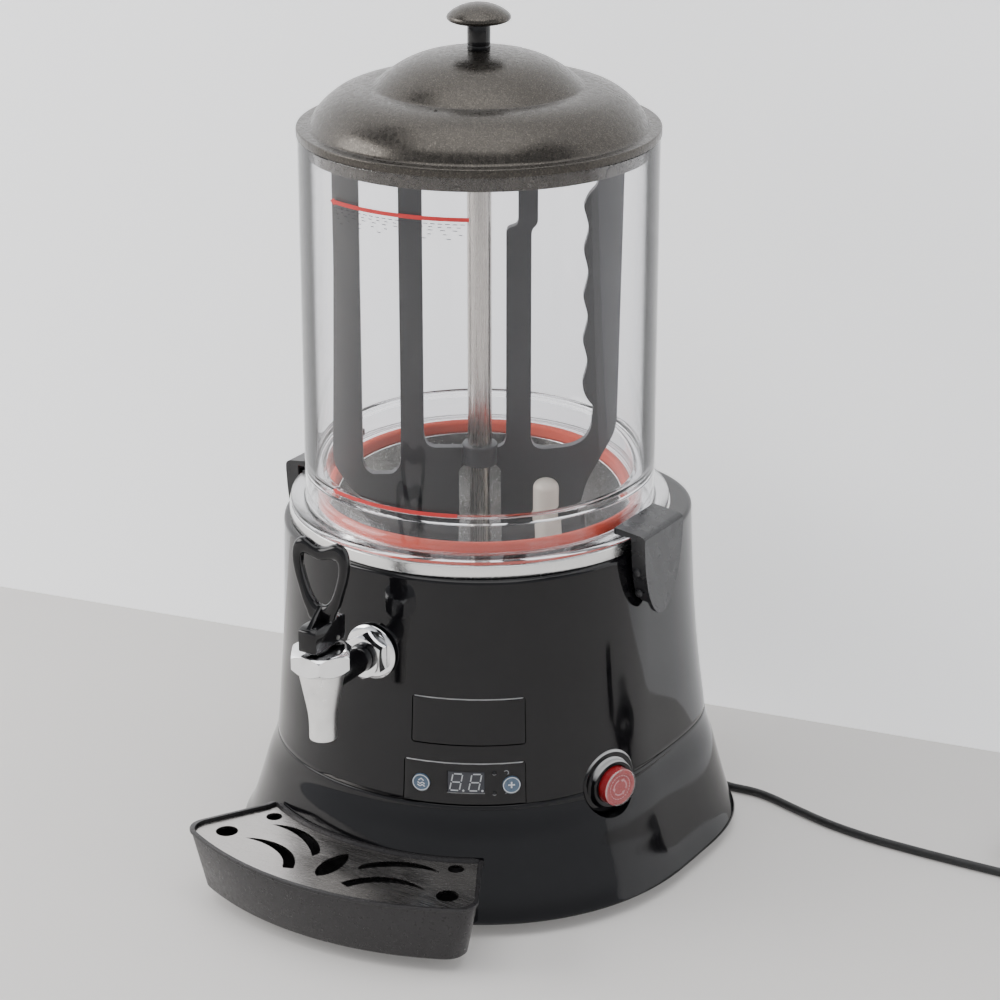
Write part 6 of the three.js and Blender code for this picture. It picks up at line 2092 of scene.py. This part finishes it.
# ------------------------------------------------------------------ latches
@dataclass
class Latch:
    """One side latch: the shield with its rounded hook, its bracket and pin."""

    word: str = "right"
    side: int = 1
    shield: list = field(default_factory=lambda: [
        (-26, 250), (-25.8, 243), (-24.6, 230), (-22.4, 219.5), (-19, 209.5), (-15, 202),
        (-10, 196), (-5, 192.6), (0, 191.5), (5, 192.6), (10, 196), (15, 202), (19, 209.5),
        (22.4, 219.5), (24.6, 230), (25.8, 243), (26, 250),
    ])
    hollow: list = field(default_factory=lambda: [
        (-23.6, 247), (-23.4, 243), (-22.2, 230.6), (-20.1, 220.4), (-16.8, 210.6),
        (-13, 203.4), (-9, 198.6), (9, 198.6), (13, 203.4), (16.8, 210.6), (20.1, 220.4),
        (22.2, 230.6), (23.4, 243), (23.6, 247),
    ])
    hook: list = field(default_factory=lambda: [
        (118, 255), (137.6, 252.4), (140, 251.4), (141, 249.4), (141, 243), (138, 243),
        (138, 247), (135.6, 248.8), (131, 249.9), (118, 250.6),
    ])
    trim: list = field(default_factory=lambda: [
        (120, 186), (138, 186), (138, 203), (133.6, 204), (130.9, 212), (130.9, 214),
        (120, 214),
    ])
    back: float = 130.8
    inside: float = 138.0
    outside: float = 141.0

    def across(self, outline: list, start: float, end: float, edge: float, broad: float,
               ) -> bpy.types.Object:
        """A (y, z) outline made thick along x.

        Args:
            outline: Corners.
            start: First x.
            end: Last x.
            edge: Width of the eased rims.
            broad: How far shallow corners are rounded.

        Returns:
            The slab.
        """
        shape = eased(np.array(outline, float), 1.0, 5, broad)
        layers = slab(shape, start, end, edge)
        return from_sweep("slab", np.stack([
            layers[..., 2] * self.side, layers[..., 0], layers[..., 1],
        ], -1))

    def along(self, outline: list, half: float, corner: float) -> bpy.types.Object:
        """An (x, z) outline made thick along y, about y = 0.

        Args:
            outline: Corners.
            half: Half the thickness.
            corner: Rounding of its corners.

        Returns:
            The slab.
        """
        shape = eased(np.array(outline, float), corner, 6, corner)
        layers = slab(shape, -half, half)
        return from_sweep("slab", np.stack([
            layers[..., 0] * self.side, layers[..., 2], layers[..., 1],
        ], -1))

    def bar(self, radius: float, half: float, x: float, z: float, head: float = 0.0,
            ) -> bpy.types.Object:
        """A round bar along y, with domed heads where they are wanted.

        Args:
            radius: The bar's radius.
            half: Half its length.
            x: Its place across.
            z: Its height.
            head: The heads' radius, or 0.

        Returns:
            The bar.
        """
        outline = [(0, -half), (radius, -half), (radius, half), (0, half)]
        if head:
            outline = [
                (0, -half - 1), (head * 0.7, -half - 1), (head, -half - 0.4), (head, -half + 0.2),
                (radius, -half + 0.2), (radius, half - 0.2), (head, half - 0.2),
                (head, half + 0.4), (head * 0.7, half + 1), (0, half + 1),
            ]
        grid = turned(eased(np.array(outline, float), 0.2), 32)
        return from_loop("bar", np.stack([
            grid[..., 0] + x * self.side, grid[..., 2], grid[..., 1] + z,
        ], -1))

    def plate(self) -> bpy.types.Object:
        """Hollows the shield, trims it clear of the housing and joins the hook.

        Returns:
            The latch.
        """
        shield = self.across(self.shield, self.back, self.outside, 0.0, 5.0)
        hollow = self.across(self.hollow, self.back - 4, self.inside, 0.0, 5.0)
        combine(shield, [hollow, self.along(self.trim, 60, 0.6)], "DIFFERENCE")
        combine(shield, [self.along(self.hook, 26.0, 0.9)], "UNION")
        combine(shield, [self.bar(2.1, 40, 134.3, 210.6)], "DIFFERENCE")
        shield.name = f"latch_shield_{self.word}"
        return soften(shield, 0.7, 3)

    def dress(self, on: Dressing) -> None:
        """Builds the latch and finishes its bracket.

        Args:
            on: The frame.
        """
        body = f"{self.word}_latch"
        on.put(self.plate(), Finish.LATCH, body, (f"latch_{self.word}",))
        rivet = self.bar(1.8, 24.2, 134.3, 226.2, 3.0)
        rivet.name = f"latch_rivet_{self.word}"
        on.put(rivet, Finish.LATCH, body)
        pin = self.bar(1.8, 20.8, 134.3, 210.6, 2.8)
        pin.name = f"hinge_pin_{self.word}"
        on.put(pin, Finish.LATCH, replaces=(f"latch_pin_{self.word}",))
        on.keep(Finish.LATCH, f"latch_bracket_{self.word}")


# ------------------------------------------------------------------ electrics and cord
@dataclass
class Mains:
    """The control board, the strain relief and the cord with its coil, tie and plug."""

    radius: float = 3.0
    exit_reach: float = 156.0
    route: list = field(default_factory=lambda: [
        (10, 140, 30), (10, 156, 30), (10, 162, 30), (10, 168, 30), (11.3, 176.7, 29.5),
        (15, 184.6, 28.2), (20.9, 191.1, 26.2), (28.4, 195.7, 23.7), (36.9, 197.8, 20.8),
        (45.7, 197.5, 17.7), (54, 194.5, 14.5), (61.1, 189.4, 11.5), (73.3, 177.4, 6.3),
        (85.6, 165.4, 3.3), (97.9, 153.4, 3), (110.2, 141.4, 3), (113.9, 139.1, 3),
        (118, 137.3, 3), (122.2, 136.2, 3), (126.6, 135.7, 3), (131, 135.8, 3),
        (137.2, 136.4, 3), (143.5, 136.8, 3), (151.7, 136.2, 3), (160.5, 134.3, 3),
        (169.6, 131.6, 3), (179.1, 128.5, 3), (190, 125.2, 3), (213, 119, 3),
        (243, 114.6, 3), (276, 113.4, 3), (312, 113.6, 3), (350, 114.4, 3.2),
    ])
    coil_middle: Point = (380.0, 161.0)
    turns: list = field(default_factory=lambda: [
        (0, 46.5, 4.4), (2.75, 28.4, 4.4), (3, 25.5, 7.7), (3.25, 28.4, 11), (6, 46.5, 11),
    ])
    coil_steps: int = 48
    leave: list = field(default_factory=lambda: [
        (13, 0, 10.9), (28, 1.5, 10.6), (46, 6, 10.2), (60, 11, 10), (70, 14.6, 10),
    ])
    plug_half: float = 14.0
    plug_low: float = 0.4
    plug_high: float = 19.6

    def coil(self) -> Array:
        """The coil's middle line, with radius and height given by the table of turns.

        The angle grows evenly from the side nearest the front. The radius runs straight
        between rows, and the height follows 3s^2 - 2s^3 between them.

        Returns:
            Points, shape (n, 3).
        """
        table = np.array(self.turns)
        turn = np.arange(int(table[-1, 0] * self.coil_steps) + 1) / self.coil_steps
        row = np.clip(np.searchsorted(table[:, 0], turn) - 1, 0, len(table) - 2)
        low, high = table[row], table[row + 1]
        share = (turn - low[:, 0]) / (high[:, 0] - low[:, 0])
        radius = low[:, 1] + (high[:, 1] - low[:, 1]) * share
        rise = share**2 * (3 - 2 * share)
        height = low[:, 2] + (high[:, 2] - low[:, 2]) * rise
        angle = -math.pi / 2 + turn * FULL_TURN
        x = self.coil_middle[0] + radius * np.cos(angle)
        y = self.coil_middle[1] + radius * np.sin(angle)
        return np.stack([x, y, height], -1)

    def line(self) -> Array:
        """The whole cord's middle line, smoothed by centripetal cubics.

        Returns:
            Points, shape (n, 3).
        """
        coil = self.coil()
        lead = coil[0] - [9.7, 0, 0]
        leave = np.array(self.leave, float)
        leave[:, :2] += coil[-1, :2]
        knots = np.concatenate([np.array(self.route, float), lead[None]])
        start = self.curve(np.concatenate([knots, coil[:3:2]]))[: -8 * 2]
        tail = self.curve(np.concatenate([coil[-5::2], leave]))
        return np.concatenate([start[:-1], coil[:-4], tail])

    @staticmethod
    def curve(knots: Array, steps: int = 8) -> Array:
        """A centripetal curve through knots, by Neville's blending of each four.

        Args:
            knots: Points, shape (n, 3).
            steps: Points for each stretch.

        Returns:
            Points, shape ((n - 1) * steps + 1, 3).
        """
        ends = np.concatenate([2 * knots[:1] - knots[1:2], knots, 2 * knots[-1:] - knots[-2:-1]])
        gaps = np.sqrt(np.linalg.norm(np.diff(ends, axis=0), axis=1))
        p = [ends[k : len(ends) - 3 + k, None] for k in range(4)]
        g = [gaps[k : len(gaps) - 2 + k, None, None] for k in range(3)]
        t0, t1 = 0 * g[0], g[0]
        t2, t3 = g[0] + g[1], g[0] + g[1] + g[2]
        t = t1 + (t2 - t1) * (np.arange(steps) / steps)[None, :, None]
        a1 = (t1 - t) / (t1 - t0) * p[0] + (t - t0) / (t1 - t0) * p[1]
        a2 = (t2 - t) / (t2 - t1) * p[1] + (t - t1) / (t2 - t1) * p[2]
        a3 = (t3 - t) / (t3 - t2) * p[2] + (t - t2) / (t3 - t2) * p[3]
        b1 = (t2 - t) / (t2 - t0) * a1 + (t - t0) / (t2 - t0) * a2
        b2 = (t3 - t) / (t3 - t1) * a2 + (t - t1) / (t3 - t1) * a3
        c = (t2 - t) / (t2 - t1) * b1 + (t - t1) / (t2 - t1) * b2
        return np.concatenate([c.reshape(-1, 3), knots[-1:]])

    def lead(self, line: Array) -> bpy.types.Object:
        """Makes the cord as one open spline with a round section.

        Args:
            line: Its middle line in millimetres.

        Returns:
            The cord.
        """
        data = bpy.data.curves.new("mains_cord", "CURVE")
        data.dimensions = "3D"
        data.bevel_depth = self.radius * MM
        data.bevel_resolution = 5
        data.use_fill_caps = True
        spline = data.splines.new("POLY")
        spline.points.add(len(line) - 1)
        points = np.concatenate([(line + AXIS_SHIFT) * MM, np.ones((len(line), 1))], axis=1)
        spline.points.foreach_set("co", points.ravel())
        spline.use_smooth = True
        cord = bpy.data.objects.new("mains_cord", data)
        bpy.context.scene.collection.objects.link(cord)
        return cord

    def plug(self, end: Array, ahead: Array) -> bpy.types.Object:
        """The plug: a rounded block, a ribbed boot towards the cord and two pins.

        Args:
            end: The cord's end.
            ahead: The cord's direction there.

        Returns:
            The plug.
        """
        heading = math.atan2(ahead[1], ahead[0])
        along = np.array([math.cos(heading), math.sin(heading), 0.0])
        right = np.array([-math.sin(heading), math.cos(heading), 0.0])
        middle = (self.plug_low + self.plug_high) / 2
        base = np.array([end[0], end[1], 0.0]) + along * 8.0

        def stand(grid: Array) -> Array:
            """Turns (across, up, along) to the cord's heading."""
            return (base + grid[..., :1] * right + grid[..., 1:2] * [0, 0, 1.0]
                    + grid[..., 2:] * along + [0, 0, middle])

        tall = (self.plug_high - self.plug_low) / 2
        half = self.plug_half
        face = eased(np.array([
            [-half, -tall], [half, -tall], [half, tall], [-half, tall],
        ]), 5.5, 8, 5.5)
        levels = [(0, 0.72), (1, 0.86), (4, 0.95), (14, 0.9), (24, 0.93), (31, 1), (33.4, 0.98),
                  (34, 0.93)]
        block = from_sweep("plug_body", stand(np.stack([
            flat(face * share, at) for at, share in levels
        ])))
        ribs = [(0, -16), (5.6, -16)]
        for at in (-14, -10.5, -7, -3.5):
            ribs += [(5.8, at), (4.9, at + 0.5), (4.9, at + 1.4), (6.0, at + 1.9)]
        ribs += [(7.2, 1.5), (0, 1.5)]
        boot = from_loop("boot", stand(turned(eased(np.array(ribs, float), 0.25), 40)))
        combine(block, [boot], "UNION")
        bore = from_loop("bore", stand(turned(
            np.array([[0, -20.0], [3.25, -20], [3.25, -5.2], [0, -5.2]]), 32)))
        combine(block, [bore], "DIFFERENCE")
        pins = []
        for side in (-1, 1):
            pin = turned(eased(np.array([
                [0, 33.0], [2.4, 33], [2.4, 51.4], [1.4, 53], [0, 53],
            ]), 0.5), 28) + [9.5 * side, 0, 0]
            pins.append(from_loop("pin", stand(pin)))
        return combine(block, pins, "UNION")

    def dress(self, on: Dressing) -> None:
        """Args:
            on: The frame.
        """
        line = self.line()
        cord = self.lead(line)
        on.put_curve(cord, Finish.CORD, ("power_cord", "cord_coil"))
        plug = self.plug(line[-1], line[-1] - line[-2])
        on.put(plug, Finish.CORD, replaces=("cord_plug",))
        on.keep(Finish.CORD, "cord_tie")
        on.keep(Finish.BOARD, "control_board")
        relief = [
            (3.3, 136), (7, 136), (7, 150.2), (10.5, 150.2), (10.5, 152.4), (7.1, 153.1),
            (6.8, 154.6), (6, 154.9), (6, 155.8), (6.4, 156.1), (6.1, 157.8), (5.4, 158.1),
            (5.4, 159), (5.7, 159.3), (5.3, 161.4), (4.8, 161.7), (4.8, 162.5), (4.6, 164),
            (3.3, 164),
        ]
        grid = turned(eased(np.array(relief, float), 0.25), 56)
        stood = np.stack([grid[..., 0] + GLAND_X, grid[..., 2], grid[..., 1] + GLAND_HEIGHT], -1)
        gland = from_loop("strain_relief", stood)
        on.put(gland, Finish.CORD, replaces=("cord_gland",))


# ------------------------------------------------------------------ studio
@dataclass
class Studio:
    """The camera, the lamps, the pale table and the pale wall behind it."""

    lens_pixels: float = 3061.0
    floor_colour: Point = (0.7, 0.682, 0.664)
    floor_glow: float = 0.2
    wall_colour: Point = (0.94, 0.944, 0.955)
    wall_glow: float = 0.6
    azimuth: float = 31.75
    pitch: float = 20.94
    yaw: float = 0.401
    place: Point = (1013.5, -1637.8, 979.0)
    sensor: float = 36.0

    def camera(self) -> None:
        """Sets the camera from its place and angles, with no roll."""
        az, down, yaw = (math.radians(a) for a in (self.azimuth, self.pitch, self.yaw))
        level_right = Vector((math.cos(az), math.sin(az), 0))
        level_ahead = Vector((-math.sin(az), math.cos(az), 0))
        ahead = math.cos(yaw) * level_ahead + math.sin(yaw) * level_right
        right = math.cos(yaw) * level_right - math.sin(yaw) * level_ahead
        sight = math.cos(down) * ahead - math.sin(down) * Vector((0, 0, 1))
        up = right.cross(sight)
        turn = Matrix((right, up, -sight)).transposed().to_4x4()
        data = bpy.data.cameras.new("camera")
        data.sensor_width = self.sensor
        data.lens = self.lens_pixels * self.sensor / 1000
        data.clip_end = 30
        camera = bpy.data.objects.new("camera", data)
        camera.matrix_world = Matrix.Translation((np.array(self.place) + AXIS_SHIFT) * MM) @ turn
        bpy.context.scene.collection.objects.link(camera)
        bpy.context.scene.camera = camera

    def backdrop(self, name: str, corners: list[Point], colour: Point,
                 seen: float) -> bpy.types.Object:
        """A flat plain surface that is no part of the object.

        Args:
            name: Its name.
            corners: Its corners in metres.
            colour: Its colour.
            seen: How brightly the camera and reflections see it.

        Returns:
            The surface.
        """
        mesh = bpy.data.meshes.new(name)
        mesh.from_pydata(corners, [], [tuple(range(len(corners)))])
        surface = bpy.data.objects.new(name, mesh)
        bpy.context.scene.collection.objects.link(surface)
        r = Recipe(f"{name}_paint")
        r.set(Base_Color=(*colour, 1.0), Roughness=0.75, Specular_IOR_Level=0.25)
        if seen > 0:
            ray = r.node("LightPath").outputs
            bare = r.node("Math", {0: ray["Is Camera Ray"], 1: ray["Is Glossy Ray"]},
                          operation="MAXIMUM").outputs[0]
            bare = r.node("Math", {0: bare, 1: ray["Is Transmission Ray"]},
                          operation="MAXIMUM").outputs[0]
            glow = r.node("Math", {0: bare, 1: seen}, operation="MULTIPLY").outputs[0]
            r.feed("Emission Strength", glow)
            r.set(Emission_Color=(*colour, 1.0))
        mesh.materials.append(r.material)
        return surface

    def lamp(self, name: str, place: Point, aim: Point, size: Point, power: float,
             colour: Point = (1, 1, 1), shows: bool = True) -> None:
        """A soft rectangular lamp.

        Args:
            name: Its name.
            place: Where it stands, in metres.
            aim: What it points at.
            size: Its width and height.
            power: Its power in watts.
            colour: Its colour.
            shows: Whether glossy surfaces mirror it.
        """
        data = bpy.data.lights.new(name, "AREA")
        data.shape = "RECTANGLE"
        data.size, data.size_y = size
        data.energy = power
        data.color = colour
        lamp = bpy.data.objects.new(name, data)
        lamp.visible_glossy = shows
        way = Vector(aim) - Vector(place)
        lamp.matrix_world = (Matrix.Translation(place)
                             @ way.to_track_quat("-Z", "Y").to_matrix().to_4x4())
        bpy.context.scene.collection.objects.link(lamp)

    def world(self) -> None:
        """Fills the room with slightly cool light that is weaker from above."""
        world = bpy.data.worlds.new("room")
        world.use_nodes = True
        nodes, links = world.node_tree.nodes, world.node_tree.links
        way = nodes.new("ShaderNodeTexCoord")
        parts = nodes.new("ShaderNodeSeparateXYZ")
        fade = nodes.new("ShaderNodeMapRange")
        for name, value in (("From Min", 0.1), ("From Max", 0.75), ("To Min", 0.95),
                            ("To Max", 0.3)):
            fade.inputs[name].default_value = value
        ground = nodes["Background"]
        ground.inputs["Color"].default_value = (0.86, 0.88, 0.92, 1.0)
        links.new(way.outputs["Generated"], parts.inputs["Vector"])
        links.new(parts.outputs["Z"], fade.inputs["Value"])
        links.new(fade.outputs["Result"], ground.inputs["Strength"])
        bpy.context.scene.world = world

    def build(self) -> None:
        """Sets up the camera, surfaces and lamps."""
        self.camera()
        self.world()
        self.backdrop("floor", [(-4, -4, 0), (4, -4, 0), (4, 4, 0), (-4, 4, 0)],
                      self.floor_colour, self.floor_glow)
        self.backdrop("wall", [(-4.1, -0.386, -0.01), (3.9, 0.914, -0.01), (3.9, 0.914, 3),
                               (-4.1, -0.386, 3)], self.wall_colour, self.wall_glow)
        self.lamp("window_left", (-2.6, -1.6, 1.6), (0, 0, 0.3), (2.2, 1.8), 84,
                  (1, 0.985, 0.97))
        self.lamp("overhead", (0.2, -0.6, 2.8), (0, 0, 0.2), (2.6, 2.0), 42)
        self.lamp("window_right", (2.9, -0.7, 1.3), (0, 0, 0.3), (1.2, 2.4), 14, shows=False)


def main() -> None:
    """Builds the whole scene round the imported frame."""
    logging.basicConfig(level=logging.INFO, format="%(name)s: %(message)s", stream=sys.stdout)
    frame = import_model()
    Studio().build()
    on = Dressing(frame["nodes"])
    for assembly in (Mains(), Housing(), Vessel(), Lid(), Stirrer(), Tap(), DripTray(),
                     ControlPanel(), StopButton(), Latch(), Latch("left", -1)):
        LOG.info("building %s", type(assembly).__name__)
        assembly.dress(on)


if __name__ == "__main__":
    main()
